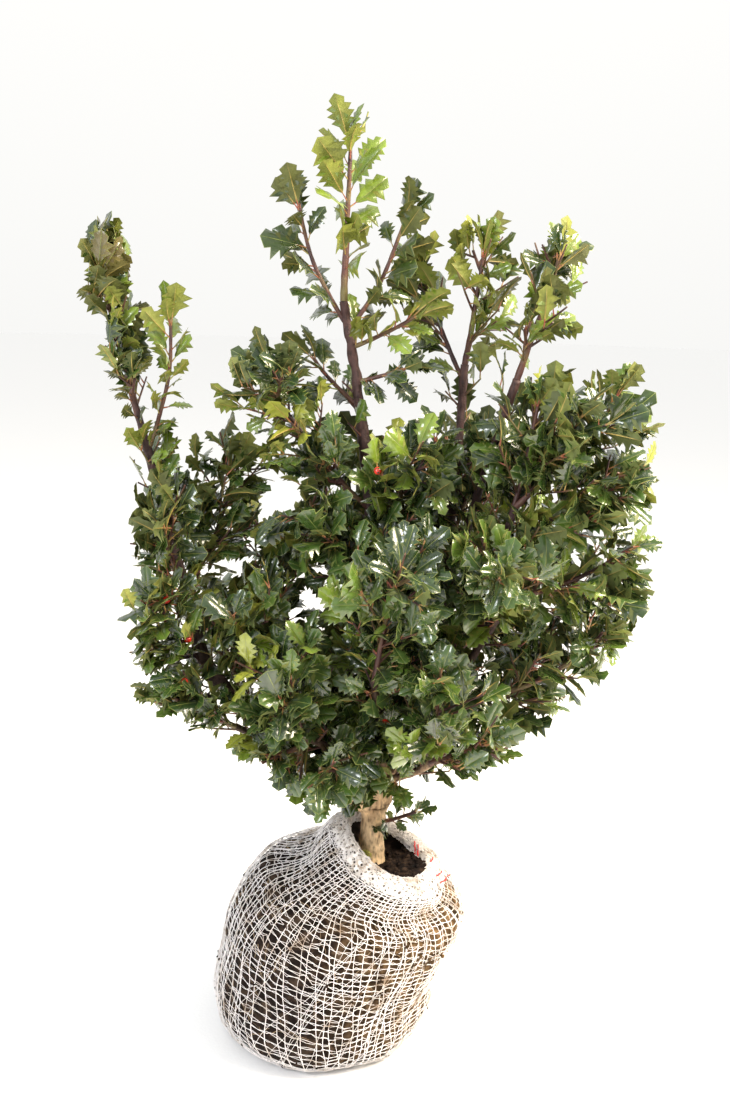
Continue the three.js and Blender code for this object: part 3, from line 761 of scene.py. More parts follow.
for radius, height, level_share in SOIL_RINGS:
    ring, ring_edges = extrude_ring(soil_bm, ring_edges)
    for vert in ring:
        turn = math.atan2(vert.co.y - COLLAR_Y, vert.co.x - COLLAR_X)
        x = COLLAR_X + radius * math.cos(turn)
        y = COLLAR_Y + radius * math.sin(turn)
        z = lerp(roll_height(x, y) + height, SOIL_BED, level_share)
        clod = soil_depth(Vector((x, y, z))) - CLOD_MEAN
        vert.co = Vector((x, y, z - clod * CLOD_GAIN))
bmesh.ops.edgeloop_fill(soil_bm, edges=ring_edges)
bmesh.ops.recalc_face_normals(soil_bm, faces=soil_bm.faces)

soil_finish = new_finish("soil_finish", Roughness=0.95, Specular_IOR_Level=0.12)
soil_place = place_of(soil_finish)
soil_axes = add_node(soil_finish, "ShaderNodeSeparateXYZ", {"Vector": soil_place}).outputs
# Lighter soil right and low: partly real dust, partly painted light; the darker rest partly painted
# shade
soil_side = range_of(soil_finish, soil_axes["X"], 0, 1, *DUST_AND_LIGHT_X)
soil_low = range_of(soil_finish, soil_axes["Z"], 0, 1, *DUST_AND_LIGHT_Z)
both = {0: soil_side, 1: soil_low}
dust_and_light = add_node(soil_finish, "ShaderNodeMath", both, operation="MULTIPLY").outputs[0]
soil_patches = noise_of(soil_finish, 95, 8, soil_place)
moist_shaded_soil = ramp_of(
    soil_finish,
    soil_patches,
    [(0.3, (0.005, 0.0035, 0.003)), (0.5, (0.016, 0.01, 0.008)), (0.7, (0.07, 0.045, 0.03))],
)
dusty_lit_soil = ramp_of(
    soil_finish,
    soil_patches,
    [(0.3, (0.02, 0.012, 0.006)), (0.5, (0.08, 0.047, 0.021)), (0.7, (0.27, 0.165, 0.075))],
)
feed(soil_finish, "Base Color", blend_of(soil_finish, moist_shaded_soil, dusty_lit_soil, dust_and_light))
soil_dull = noise_of(soil_finish, 60, 2, soil_place)
feed(soil_finish, "Roughness", range_of(soil_finish, soil_dull, 0.75, 1))
roughen(soil_finish, noise_of(soil_finish, 900, 6, soil_place), 0.0012)
soil = new_piece("soil_ball", mesh_from(soil_bm, "soil_ball"), [soil_finish])
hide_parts("root_ball")
print("soil faces:", len(soil.data.polygons))

# %% [markdown]
# ## Threads as curves
# Net, roots, twigs and leaf stalks are all thin tubes by the hundred. The quickest way to make
# them is a curve object: it takes a list of points for each thread, and its bevel gives them
# thickness, with a radius at every point. The finished tubes are then kept as one plain mesh,
# because a mesh can be joined, measured and exported.

# %% Helper for many tubes
def tubes(name, lines, level=0):
    """One mesh of many tubes. Each line is (points in mm, radii in mm, whether it closes)."""
    curve = bpy.data.curves.new(name, "CURVE")
    curve.dimensions = "3D"
    curve.bevel_depth = MM
    curve.bevel_resolution = level
    curve.use_fill_caps = True
    for points, radii, closed in lines:
        spline = curve.splines.new("POLY")
        spline.points.add(len(points) - 1)
        places = np.ones((len(points), 4))
        places[:, :3] = np.asarray(points) * MM
        spline.points.foreach_set("co", places.ravel())
        spline.points.foreach_set("radius", np.broadcast_to(radii, len(points)).astype(float))
        spline.use_cyclic_u = closed
    drawn = bpy.data.objects.new(name, curve)
    bpy.context.scene.collection.objects.link(drawn)
    evaluated = drawn.evaluated_get(bpy.context.evaluated_depsgraph_get())
    mesh = bpy.data.meshes.new_from_object(evaluated)
    mesh.name = name
    mesh.materials.clear()
    mesh.polygons.foreach_set("use_smooth", np.ones(len(mesh.polygons), dtype=bool))
    bpy.data.objects.remove(drawn)
    bpy.data.curves.remove(curve)
    return mesh


def tube_piece(name, lines, finish, level=0):
    """Many tubes as one piece of the plant."""
    return new_piece(name, tubes(name, lines, level), [finish])


# %% [markdown]
# ## Many copies of one small shape
# Leaves and crumbs of soil are small shapes that come by the hundred. Copying objects would be
# slow, so a shape is kept as plain arrays of corners and faces, and each copy is one small matrix
# product. All the copies become one mesh in a single step.

# %% Helpers for joined copies
class Shape:
    """A small mesh as arrays, ready to be copied many times."""

    def __init__(self, bm):
        bm.verts.index_update()
        self.corners = np.array([vert.co for vert in bm.verts])
        self.loops = np.array([vert.index for face in bm.faces for vert in face.verts])
        self.sizes = np.array([len(face.verts) for face in bm.faces])
        self.slots = np.array([face.material_index for face in bm.faces])
        bm.free()


def joined_copies(name, shapes, rows):
    """One mesh of many copies. A row is (shape number, 3 by 3 matrix in mm, place in mm)."""
    corners, loops, sizes, slots, start = [], [], [], [], 0
    for kind, turn, place in rows:
        shape = shapes[kind]
        corners.append(shape.corners @ turn.T + place)
        loops.append(shape.loops + start)
        sizes.append(shape.sizes)
        slots.append(shape.slots)
        start += len(shape.corners)
    corners, loops = np.concatenate(corners) * MM, np.concatenate(loops)
    sizes, slots = np.concatenate(sizes), np.concatenate(slots)
    mesh = bpy.data.meshes.new(name)
    mesh.vertices.add(len(corners))
    mesh.vertices.foreach_set("co", corners.ravel())
    mesh.loops.add(len(loops))
    mesh.loops.foreach_set("vertex_index", loops)
    mesh.polygons.add(len(sizes))
    mesh.polygons.foreach_set("loop_start", np.concatenate([[0], np.cumsum(sizes)[:-1]]))
    mesh.polygons.foreach_set("material_index", slots)
    mesh.polygons.foreach_set("use_smooth", np.ones(len(sizes), dtype=bool))
    mesh.update(calc_edges=True)
    mesh.set_sharp_from_angle(angle=math.radians(95))
    return mesh


# %% [markdown]
# ## The knitted net
# The net is a stocking of white yarn. Its upright chains fan out from the gathered rim, spread
# over the shoulder and run under the ball. Fine double threads zigzag between them, and a sparser
# set slants across both, so the openings are small and uneven. A texture of lines would look flat
# at the outline, where the threads stand off the soil, so each thread is real. Chains and rows
# share one rule for their place, which bends both by the same slow noise, so they cross where
# they should.

# %% Threads of the net
CHAINS = 92
CHAIN_POINTS = 84
CHAIN_RADIUS = 0.37
ROWS = 40
ROW_CROWDING = 1.08
THREAD_RADIUS = 0.24
SLANTS = 44
SLANT_RADIUS = 0.23
SLANT_SWIRL = math.radians(-44)
NET_LIFT = 0.75
NET_FROM = 0.035
NET_SWIRL = math.radians(18)
BEND_TURN = 0.11
KINK_TURN = 0.032
BEND_SHARE = 0.026
KINK_SHARE = 0.011
RIPPLE_MM = 0.5
LOOSE_DIP = 1.1
SLACK_LEAST = 0.0012
SLACK_RANGE = 0.005
DRIFT_SHARE = 0.006


def soft_wave(a, b, seed):
    """A slow noise over two arrays of numbers, from about -1 to 1."""
    flat = np.broadcast_arrays(np.asarray(a, float), np.asarray(b, float))
    pairs = zip(flat[0].ravel(), flat[1].ravel())
    values = [noise.noise(Vector((x, y, seed))) for x, y in pairs]
    return np.array(values).reshape(flat[0].shape) * 1.6


def round_wave(turns, reach, seed, shift=0.0, rise=0.0):
    """A slow noise that meets itself after a full turn; a greater reach gives more waves."""
    return soft_wave(np.cos(turns) * reach + shift, np.sin(turns) * reach + rise, seed)


def net_turn(turn, share, swirl=NET_SWIRL):
    """Where a chain that leaves the rim at a turn has got to, lower down."""
    bend = round_wave(turn, 1.6, 3, shift=share * 1.5)
    fine = round_wave(turn, 24, 8, rise=share * 7)
    fade = np.minimum(1, share * 4)
    return turn + swirl * share + fade * (bend * BEND_TURN + fine * KINK_TURN)


def net_share(turn, share):
    """How far down a row lies; it wavers on its way round."""
    bend = round_wave(turn, 1.3, 21, rise=share * 2.5)
    fine = round_wave(turn, 11, 34, shift=share * 29)
    fade = np.minimum(1, share * 5) * np.minimum(1, (1.02 - share) * 6)
    return share + fade * (bend * BEND_SHARE + fine * KINK_SHARE)


def net_height(turns, shares, lift):
    """How far off the surface a thread lies: it dips where loose earth has run over it."""
    ripple = soft_wave(turns * 9, shares * 31, 61) * RIPPLE_MM
    return lift + ripple - LOOSE_DIP * loose_earth(turns, shares)


def chain_line(turn, swirl, lift, radius):
    """One chain: down the ball, then a little way in under it."""
    share = np.linspace(NET_FROM, 1, CHAIN_POINTS)
    turns = net_turn(turn, share, swirl)
    points = on_ball(turns, share, net_height(turns, share, lift))
    under = points[-1] * np.array([[0.75, 0.75, 1], [0.5, 0.5, 1]])
    points = np.concatenate([points, under])
    points[:, 2] = np.maximum(points[:, 2], radius + 0.1)
    return points, radius, False


def row_line(row, phase):
    """One thread of a double row, which zigzags from chain to chain."""
    share = NET_FROM + (1 - NET_FROM) * ((row + 0.5) / ROWS) ** ROW_CROWDING
    chains = np.arange(2 * CHAINS)
    start = chains / 2 * FULL_TURN / CHAINS
    side = np.where(chains % 4 == 0, 1, np.where(chains % 4 == 2, -1, 0)) * phase
    slack = SLACK_LEAST + SLACK_RANGE * (0.5 + 0.5 * round_wave(start, 5, row))
    drift = DRIFT_SHARE * round_wave(start, 3, row * 3 + phase)
    shares = net_share(start, share) + side * slack + drift
    turns = net_turn(start, shares)
    points = on_ball(turns, shares, net_height(turns, shares, NET_LIFT + THREAD_RADIUS))
    points[:, 2] = np.maximum(points[:, 2], THREAD_RADIUS + 0.1)
    return points, THREAD_RADIUS, True


chain_random = seeded_random(71)
chain_turns = [(i + 0.8 * (chain_random() - 0.5)) * FULL_TURN / CHAINS for i in range(CHAINS)]
chain_lines = []
for turn in chain_turns:
    thick = CHAIN_RADIUS * lerp(0.75, 1.2, chain_random())
    chain_lines.append(chain_line(turn, NET_SWIRL, NET_LIFT, thick))
for i in range(SLANTS):
    turn = (i + chain_random()) * FULL_TURN / SLANTS
    swirl = SLANT_SWIRL * lerp(0.4, 1.5, chain_random())
    chain_lines.append(chain_line(turn, swirl, NET_LIFT + 0.8, SLANT_RADIUS))
row_lines = [row_line(row, phase) for row in range(ROWS) for phase in (1, -1)]

yarn_finish = noisy_finish(
    "yarn_finish",
    tone=(55, 6),
    stops=[(0.3, (0.36, 0.26, 0.18)), (0.4, (0.72, 0.66, 0.62)), (0.52, (0.9, 0.86, 0.86))],
    bump=(2600, 2, 0.0003),
    rough=(30, 2, 0.65, 0.9),
    Roughness=0.8,
    Sheen_Weight=0.3,
)
chains = tube_piece("net_chains", chain_lines, yarn_finish)
rows = tube_piece("net_rows", row_lines, yarn_finish)
print("chains:", len(chain_lines), "faces:", len(chains.data.polygons))
print("rows:", len(row_lines), "faces:", len(rows.data.polygons))

# %% [markdown]
# ## The gathered rim
# Where the net was drawn together its stitches crowd into a white knitted band. It stands up on
# the left, lies flat at the front right, and runs on into the net with no step. Its surface is a
# rule again: one smooth curve from the inner edge over the crest and down to the ball. A thin
# closed strip is spun and laid on that rule, and yarn is knitted over it in zigzags that crowd
# and part, so that pin-holes are left. The strip under the yarn is painted with small dark spots,
# each in a grey ring: painted shade in the pin-holes. Small loops stand along the inner edge.

# %% Band and loops of the rim
BAND_SHIFTS = (-6, -5, 0)
BAND_REACHES = (36, 34, 38)
BAND_HEIGHTS = (-6, 10, 8)
BAND_END = 0.03
BAND_TURNS = 220
BAND_SIDES = 22
BAND_THICK = 1.1
BAND_HALF_SHARE = 0.48
BAND_LUMPS = (0.8, 6.0)
YARN_LUMPS = (0.9, 3.4)
DRAFT_RADIUS = 4
LOOPS = 108
LOOP_POINTS = 22
LOOP_RADIUS = 0.46
LINING_SHARE = 0.7
HOOPS = 9
PICOTS = 86
PICOT_SIZE = 2.1


def band_place(turns, shares):
    """Points on the band: a share of 0 at its inner edge and of 1 where it meets the net."""
    turns, shares = np.broadcast_arrays(turns, shares)
    knots = []
    for shift, reach, height in zip(BAND_SHIFTS, BAND_REACHES, BAND_HEIGHTS):
        x = COLLAR_X + shift + reach * np.cos(turns)
        y = COLLAR_Y + reach * np.sin(turns)
        knots.append(np.stack([x, y, roll_height(x, y) + height], axis=-1))
    knots.append(on_ball(turns, BAND_END * np.maximum(1, shares), NET_LIFT))
    t = np.clip(shares, 0, 1)[..., None]
    back = 1 - t
    weights = (back**3, 3 * t * back**2, 3 * t**2 * back, t**3)
    return sum(weight * knot for weight, knot in zip(weights, knots))


def band_point(turns, shares, lift):
    """Points that stand off the band by lift, in mm."""
    shares = np.maximum(shares, 0.021)
    around = band_place(turns + PROBE, shares) - band_place(turns - PROBE, shares)
    down = band_place(turns, shares + PROBE) - band_place(turns, shares - PROBE)
    return band_place(turns, shares) + unit_normals(down, around) * np.asarray(lift)[..., None]


def lumpy(points, amount, wave):
    """The points pushed about by a noise, in mm."""
    shift = [noise.noise_vector(Vector(point) / wave) * amount for point in points]
    return points + np.array(shift)


band_bm = bmesh.new()
upright = Matrix.Translation((DRAFT_RADIUS, 0, 0)) @ Matrix.Rotation(math.pi / 2, 4, "X")
bmesh.ops.create_circle(band_bm, segments=BAND_SIDES, radius=1, matrix=upright)
spin_round(band_bm, BAND_TURNS)
draft = np.array([vert.co for vert in band_bm.verts])
band_turns = np.arctan2(draft[:, 1], draft[:, 0])
section = np.hypot(draft[:, 0], draft[:, 1]) - DRAFT_RADIUS
band_lift = BAND_THICK * (draft[:, 2] - 1)
placed = band_point(band_turns, 0.5 + BAND_HALF_SHARE * section, band_lift)
for vert, point in zip(band_bm.verts, lumpy(placed, *BAND_LUMPS)):
    vert.co = point
bmesh.ops.recalc_face_normals(band_bm, faces=band_bm.faces)

band_finish = new_finish("band_finish", Roughness=0.9, Sheen_Weight=0.3)
band_where = place_of(band_finish)
# Dark spots with grey rings on the strip: painted shade in the pin-holes
eyelets = add_node(band_finish, "ShaderNodeTexVoronoi", {"Vector": band_where}, Scale=300.0)
eyelet_shade_tone = ramp_of(
    band_finish,
    eyelets.outputs["Distance"],
    [(0.24, (0.015, 0.01, 0.008)), (0.36, (0.34, 0.3, 0.27)), (0.5, (0.86, 0.82, 0.8))],
)
feed(band_finish, "Base Color", eyelet_shade_tone)
roughen(band_finish, eyelets.outputs["Distance"], 0.0012)
band = new_piece("rim_band", mesh_from(band_bm, "rim_band"), [band_finish])
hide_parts("net_collar")

loop_lines = []
loop_random = seeded_random(72)
for i in range(LOOPS):
    turn = (i + 0.8 * (loop_random() - 0.5)) * FULL_TURN / LOOPS
    shares = np.linspace(0, lerp(0.95, 1.35, loop_random()), LOOP_POINTS)
    zigzag = np.where(np.arange(LOOP_POINTS) % 2, 0.5, -0.5) * (1 if i % 2 else -1)
    swing = 0.08 * (loop_random() - 0.5)
    turns = turn + (zigzag + loop_random() * 0.3) * FULL_TURN / LOOPS + swing * shares
    points = band_point(turns, shares, lerp(0.2, 1.0, loop_random()) + 0.4 * zigzag)
    loop_lines.append((lumpy(points, *YARN_LUMPS), LOOP_RADIUS, False))
    lining = band_point(turns, shares * LINING_SHARE, zigzag - 2 * BAND_THICK - 0.3)
    loop_lines.append((lumpy(lining, *YARN_LUMPS), LOOP_RADIUS, False))
for i in range(HOOPS):
    turns = np.arange(2 * LOOPS) * FULL_TURN / (2 * LOOPS)
    wobble = 0.035 * round_wave(turns, 14, i + 50)
    knots = 0.022 * np.where(np.arange(2 * LOOPS) % 2, 1, -1)
    shares = lerp(0.03, 1.12, i / (HOOPS - 1)) + wobble + knots
    points = band_point(turns, shares, 0.7 + 0 * turns)
    loop_lines.append((lumpy(points, *YARN_LUMPS), LOOP_RADIUS * 0.9, True))
for i in range(PICOTS):
    turn = np.array((i + 0.6 * loop_random()) * FULL_TURN / PICOTS)
    size = PICOT_SIZE * lerp(0.6, 1.25, loop_random())
    edge = band_place(turn, np.array(lerp(0.02, 0.2, loop_random())))
    side = np.array([-np.sin(turn), np.cos(turn), 0.0])
    away = np.array([-np.cos(turn), -np.sin(turn), lerp(0.2, 1.6, loop_random())])
    away = away / np.linalg.norm(away)
    angles = np.linspace(0, FULL_TURN, 9)[:-1, None]
    ring = edge + size * (np.cos(angles) * side + (0.8 + np.sin(angles)) * away)
    loop_lines.append((ring, LOOP_RADIUS * 0.75, True))
loops = tube_piece("rim_loops", loop_lines, yarn_finish)
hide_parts("net_collar")
print("loops of the rim:", len(loop_lines), "faces:", len(loops.data.polygons))

# %% [markdown]
# ## Roots, crumbs and a few red threads
# A lifted ball is never clean. Fine tan roots creep over the soil under the net, crumbs stick to
# the threads and lie in the hollow round the trunk, and moss grows at the trunk's foot. Roots are
# short random walks over the ball, which the tubes helper turns into threads. A crumb is a small
# ball of twenty faces that a noise has spoilt, and it is copied by the hundred. A few red threads
# are worked into the rim.

# %% Roots, crumbs, moss and red threads
ROOTS = 230
ROOT_STEPS = 14
ROOT_STEP_MM = 2.6
ROOT_RADIUS = 0.24
CRUMBS = 420
HOLLOW_CRUMBS = 150
CRUMB_MM = (0.6, 2.3)
MOSS_TUFTS = 130
MOSS_AT = Vector((31, -16, 177))
MOSS_SPREAD = 5.5
MOSS_MM = (1.2, 2.6)
MOSS_RADII = (0.7, 0.6, 0.2)


def root_walk(random):
    """A root as a random walk over the ball."""
    turn, share = random() * FULL_TURN, lerp(0.1, 0.95, random())
    way = random() * FULL_TURN
    turns, shares = [], []
    for _ in range(ROOT_STEPS):
        way += 1.1 * (random() - 0.5)
        turn += ROOT_STEP_MM / 105 * math.cos(way)
        share = min(0.98, max(0.09, share + ROOT_STEP_MM / 270 * math.sin(way)))
        turns.append(turn)
        shares.append(share)
    lift = lerp(-1.2, 0.9, random())
    return on_ball(np.array(turns), np.array(shares), lift), ROOT_RADIUS, False


earth_random = seeded_random(81)
root_finish = noisy_finish(
    "root_finish",
    tone=(80, 4),
    stops=[(0.35, (0.1, 0.06, 0.03)), (0.65, (0.42, 0.3, 0.17))],
    bump=(1500, 3, 0.0003),
    Roughness=0.8,
)
root_lines = [root_walk(earth_random) for _ in range(ROOTS)]
roots = tube_piece("fine_roots", root_lines, root_finish)
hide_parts("root_ball")

crumb_shapes = []
for seed in range(3):
    crumb_bm = bmesh.new()
    bmesh.ops.create_icosphere(crumb_bm, subdivisions=1, radius=1)
    for vert in crumb_bm.verts:
        vert.co *= 1 + 0.6 * noise.noise(vert.co * 1.3 + Vector((seed * 5, 0, 0)))
    crumb_shapes.append(Shape(crumb_bm))
crumb_rows = []
for i in range(CRUMBS + HOLLOW_CRUMBS):
    size = lerp(*CRUMB_MM, earth_random() ** 2)
    if i < CRUMBS:
        turn = np.array(earth_random() * FULL_TURN)
        share = np.array(lerp(0.1, 0.93, earth_random()))
        place = on_ball(turn, share, np.array(lerp(-0.5, 1.0, earth_random())))
    else:
        turn, reach = earth_random() * FULL_TURN, 33 * math.sqrt(earth_random())
        x, y = COLLAR_X + reach * math.cos(turn), COLLAR_Y + reach * math.sin(turn)
        place = np.array([x, y, SOIL_BED + lerp(-1.0, 2.5, earth_random())])
        size *= 1.3
    turned = Quaternion((1, earth_random(), earth_random()), earth_random() * 6).to_matrix()
    crumb_rows.append((i % 3, np.array(turned) * size, place))
crumb_mesh = joined_copies("soil_crumbs", crumb_shapes, crumb_rows)
crumbs = new_piece("soil_crumbs", crumb_mesh, [soil_finish])
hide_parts("root_ball")

moss_finish = noisy_finish(
    "moss_finish",
    tone=(300, 4),
    stops=[(0.35, (0.2, 0.22, 0.03)), (0.65, (0.55, 0.52, 0.12))],
    bump=(2000, 3, 0.0003),
    Roughness=0.9,
)
moss_lines = []
for _ in range(MOSS_TUFTS):
    way = earth_random() * FULL_TURN
    off = MOSS_SPREAD * math.sqrt(earth_random())
    foot = MOSS_AT + Vector((off * math.cos(way), 0, off * math.sin(way)))
    lean = Vector((earth_random() - 0.8, -1.6, earth_random() - 0.1))
    tip = foot + lean * lerp(*MOSS_MM, earth_random())
    moss_lines.append((np.array([foot, foot.lerp(tip, 0.5), tip]), MOSS_RADII, False))
tube_piece("moss", moss_lines, moss_finish)

RED_THREADS = [
    # turn in degrees, share of the band, length in mm, how upright
    (28, 0.1, 15, 1.5),
    (22, 0.2, 11, 0.9),
    (2, 0.6, 6, 0.3),
    (-14, 0.8, 9, 0.1),
    (-20, 0.9, 7, 0.1),
    (-8, 1.0, 12, 0.1),
]
red_finish = noisy_finish(
    "red_thread_finish",
    tone=(200, 3),
    stops=[(0.35, (0.5, 0.01, 0.012)), (0.65, (0.8, 0.03, 0.03))],
    bump=(2600, 3, 0.0003),
    Roughness=0.7,
    Sheen_Weight=0.3,
)
red_lines = []
for degrees, share, length, upright_share in RED_THREADS:
    turn = math.radians(degrees)
    start = Vector(band_point(np.array(turn), np.array(share), np.array(1.9)))
    along = Vector((math.cos(turn + 1.2), math.sin(turn + 1.2), upright_share)).normalized()
    steps = [start + along * length * k / 6 for k in range(7)]
    curl = [noise.noise_vector(step / 3.5) * 1.6 for step in steps]
    points = np.array([step + bend for step, bend in zip(steps, curl)])
    red_lines.append((points, np.linspace(0.9, 0.6, 7), False))
tube_piece("red_threads", red_lines, red_finish)
print("roots:", len(root_lines), "crumbs:", len(crumb_rows), "moss tufts:", len(moss_lines))

# %% [markdown]
# ## The foliage masses
# The crown is made of forty-one sprays. Each has one stem that starts on a limb, in a space of a
# given girth that no other spray enters. The rows below are the solids' own: the limb, the station
# on it, the tip, the lift, the girth, the number of its main side twigs and the size of its
# leaves. Because the rule and the seeds are the same, the main twigs lie just where the solid
# ones do, and the finer ones are grown from there.

# %% Stems of the masses
MASSES = [
    ("top_shoot", "leader", 1, (2, 0, 824), 0, 60, 0, 0.92),
    ("top_left_shoot", "leader", 0.955, (-40, -4, 768), 26, 50, 0, 0.84),
    ("top_right_shoot", "leader", 0.945, (52, 6, 764), 20, 46, 0, 0.84),
    ("upper_right_twig", "leader", 0.915, (62, -22, 680), 10, 42, 0, 0.84),
    ("mid_right_twig", "leader", 0.85, (52, -14, 634), 10, 40, 0, 0.84),
    ("mid_left_twig", "leader", 0.8, (-26, 12, 640), 20, 42, 0, 0.84),
    ("high_left_spray", "leader", 0.6, (-68, -30, 624), 10, 54, 2, 0.88),
    ("centre_left_spray", "leader", 0.47, (-26, -28, 508), 14, 64, 2, 1),
    ("centre_right_spray", "leader", 0.5, (60, -24, 556), 14, 60, 3, 1),
    ("right_centre_spray", "right_inner_shoot", 0.22, (134, 70, 556), 14, 58, 3, 1),
    ("right_inner_top", "right_inner_shoot", 1, (122, 30, 732), 0, 54, 2, 0.88),
    ("right_inner_left_spray", "right_inner_shoot", 0.93, (68, 42, 722), 14, 46, 1, 0.88),
    ("right_outer_top", "right_outer_shoot", 1, (182, -20, 730), 4, 48, 2, 0.84),
    ("right_top_spray", "right_high_bough", 0.86, (170, -30, 608), 10, 60, 2, 1),
    ("right_high_spray", "right_high_bough", 1, (216, -58, 602), 10, 64, 2, 1),
    ("right_far_spray", "right_high_bough", 0.94, (234, -56, 540), 14, 62, 3, 1),
    ("right_mid_spray", "right_mid_bough", 1, (236, -50, 474), 14, 62, 2, 1),
    ("right_front_spray", "right_mid_bough", 0.86, (140, -96, 486), 20, 64, 2, 1),
    ("right_low_spray", "right_low_bough", 1, (238, -32, 396), 14, 62, 2, 1),
    ("right_under_spray", "right_low_bough", 0.88, (186, -20, 338), 10, 54, 2, 1),
    ("front_right_spray", "front_right_bough", 1, (132, -86, 318), 10, 60, 2, 1),
    ("front_right_high_spray", "front_right_bough", 0.84, (92, -96, 378), 16, 62, 2, 1),
    ("front_low_spray", "front_left_bough", 0.8, (4, -100, 292), 10, 54, 2, 1),
    ("front_left_low_spray", "front_left_bough", 0.92, (-62, -84, 296), 10, 56, 3, 1),
    ("front_left_spray", "front_left_bough", 1, (-44, -92, 388), 14, 64, 2, 1),
    ("front_high_spray", "front_bough", 1, (46, -96, 470), 10, 70, 2, 1),
    ("left_low_spray", "left_low_bough", 1, (-142, -64, 346), 8, 56, 2, 1),
    ("left_outer_spray", "left_stem", 0.97, (-158, -52, 424), 14, 62, 2, 1),
    ("left_inner_spray", "left_stem", 0.8, (-72, -50, 420), 16, 66, 2, 1),
    ("left_inner_low_spray", "left_stem", 0.42, (-46, -6, 352), 16, 56, 2, 1),
    ("left_shoot_spray", "left_shoot", 0.3, (-160, -20, 500), 10, 56, 3, 1),
    ("left_rear_spray", "left_shoot", 0.3, (-98, 62, 536), 16, 58, 2, 1),
    ("left_shoot_top", "left_shoot", 1, (-218, 0, 730), 0, 46, 2, 0.78),
    ("left_shoot_twig", "left_shoot", 0.94, (-152, 0, 668), 22, 42, 0, 0.8),
    ("back_left_low_spray", "back_left_bough", 1, (-128, 100, 366), 14, 66, 2, 1),
    ("back_left_high_spray", "back_left_bough", 0.86, (-62, 88, 470), 16, 68, 2, 1),
    ("back_low_spray", "back_bough", 1, (24, 140, 340), 12, 62, 2, 1),
    ("back_high_spray", "back_bough", 0.85, (36, 104, 456), 16, 70, 2, 1),
    ("back_right_low_spray", "back_right_bough", 1, (180, 92, 384), 14, 66, 2, 1),
    ("back_right_high_spray", "back_right_bough", 0.88, (150, 88, 482), 16, 68, 2, 1),
    ("trunk_twig", "trunk", 0.7, (78, -18, 224), 14, 20, 0, 0.4),
]
STEM_FOOT = 2.2
STEM_SHARE = 0.85
STEM_TIP = 1.5
SPACE_STATIONS = 7
SPACE_FOOT_SHARE = 0.6
SPACE_MARGIN = 0.02


class Mass:
    """A spray: its stem, and the stations of the space round it."""

    def __init__(self, number, row):
        self.name, on, at, tip, lift, self.girth, self.twig_count, self.size = row
        self.number = number
        carrier = limbs[on]
        foot = STEM_SHARE * carrier.tip_radius if at == 1 else STEM_FOOT
        arc = Arc(carrier.arc.point(at), Vector(tip), lift)
        self.stem = Stalk(self.name, arc, foot, STEM_TIP)
        self.stations = [i / (SPACE_STATIONS - 1) for i in range(SPACE_STATIONS)]


masses = [Mass(number, row) for number, row in enumerate(MASSES)]
space_points = np.array([[m.stem.arc.point(s) for s in m.stations] for m in masses])
space_radii = np.array(
    [[m.girth * lerp(SPACE_FOOT_SHARE, 1, min(1, 2 * s)) for s in m.stations] for m in masses]
)


def keeps_to(mass, point, reach=1.0):
    """True where a point is inside the mass's space and further out of every other one."""
    outness = (np.linalg.norm(space_points - np.array(point), axis=2) / space_radii).min(axis=1)
    own = outness[mass.number]
    outness[mass.number] = np.inf
    return own <= reach and outness.min() > own + SPACE_MARGIN


print("masses:", len(masses))

# %% [markdown]
# ## Twigs
# A side twig leaves its stem at about 50 degrees, turns a little to the light, and stays inside
# its spray's space, clear of the limbs and the other sprays' stems. The main twigs come first.
# Then the same rule runs again with a twig every centimetre or so, each as long as its room
# allows, which is how a holly fills in. Trying a few turns and lengths in order, and keeping the
# first that fits, is simple and quick enough for hundreds of twigs.

# %% Grow the twigs
BALL_SPACING = 4
CLEAR_MARGIN = 0.8
CLEAR_SAMPLES = 5
TWIG_FOOT = 1.7
TWIG_TIP = 1.3
TWIG_SPREAD = 52
TWIG_SPREAD_RANGE = 14
TWIG_REACH = (0.38, 0.52)
TWIG_RISE = 0.12
TWIG_FIRST = 0.24
TWIG_LAST = 0.86
TWIG_SEED = 1000
STEM_SIDES = 3
STEM_STEPS = 2
FINE_SPACING = 11
FINE_REACHES = (0.8, 0.66, 0.52, 0.38)
SHORT_REACHES = (0.45, 0.3)
FINE_STATIONS = (0.14, 0.9)
FINE_SPREADS = (58, 42)
FINE_SPREAD_RANGE = 16
FINE_STRETCH = (0.85, 1.1)
FINE_FOOT = 1.1
FINE_TIP = 0.7
FINE_SEED = 3000
SPRAY_REACH = 0.92
OTHER_REACHES = {
    "left_shoot_top": 0.62,
    "right_inner_top": 0.7,
    "right_outer_top": 0.66,
    "right_inner_left_spray": 0.7,
    "trunk_twig": 1.4,
}
CROWN_UNDERSIDE = [(-184, 345), (-110, 304), (-60, 280), (-34, 236), (50, 232), (86, 258)]
CROWN_UNDERSIDE += [(142, 286), (209, 330), (248, 388), (284, 455)]
CROWN_LEFT = [(300, -182), (500, -182), (600, -196), (690, -224), (760, -228)]
CROWN_RIGHT = 284
FRONT_Y = -60
FRONT_RISE = 0.44
EDGE_WAVE_MM = 24
EDGE_MM = 9
AIR_SHAFTS = [
    # openings that one sees through: x and z where they pass the crown's front, and their radius
    (-46, 528, 12),
    (-62, 514, 8),
    (-38, 426, 8),
    (-100, 500, 6),
]


def balls_along(stalk, owner):
    """A stalk as balls along its centreline: rows of x, y, z, radius and owner."""
    count = math.ceil(stalk.arc.length() / BALL_SPACING)
    shares = [i / count for i in range(count + 1)]
    return [(*stalk.arc.point(s), stalk.radius(s), owner) for s in shares]


obstacle_rows = []
for number, limb in enumerate(limbs.values()):
    limb.owner = -1 - number
    obstacle_rows += balls_along(limb, limb.owner)
for mass in masses:
    obstacle_rows += balls_along(mass.stem, mass.number)
obstacles = np.array(obstacle_rows)


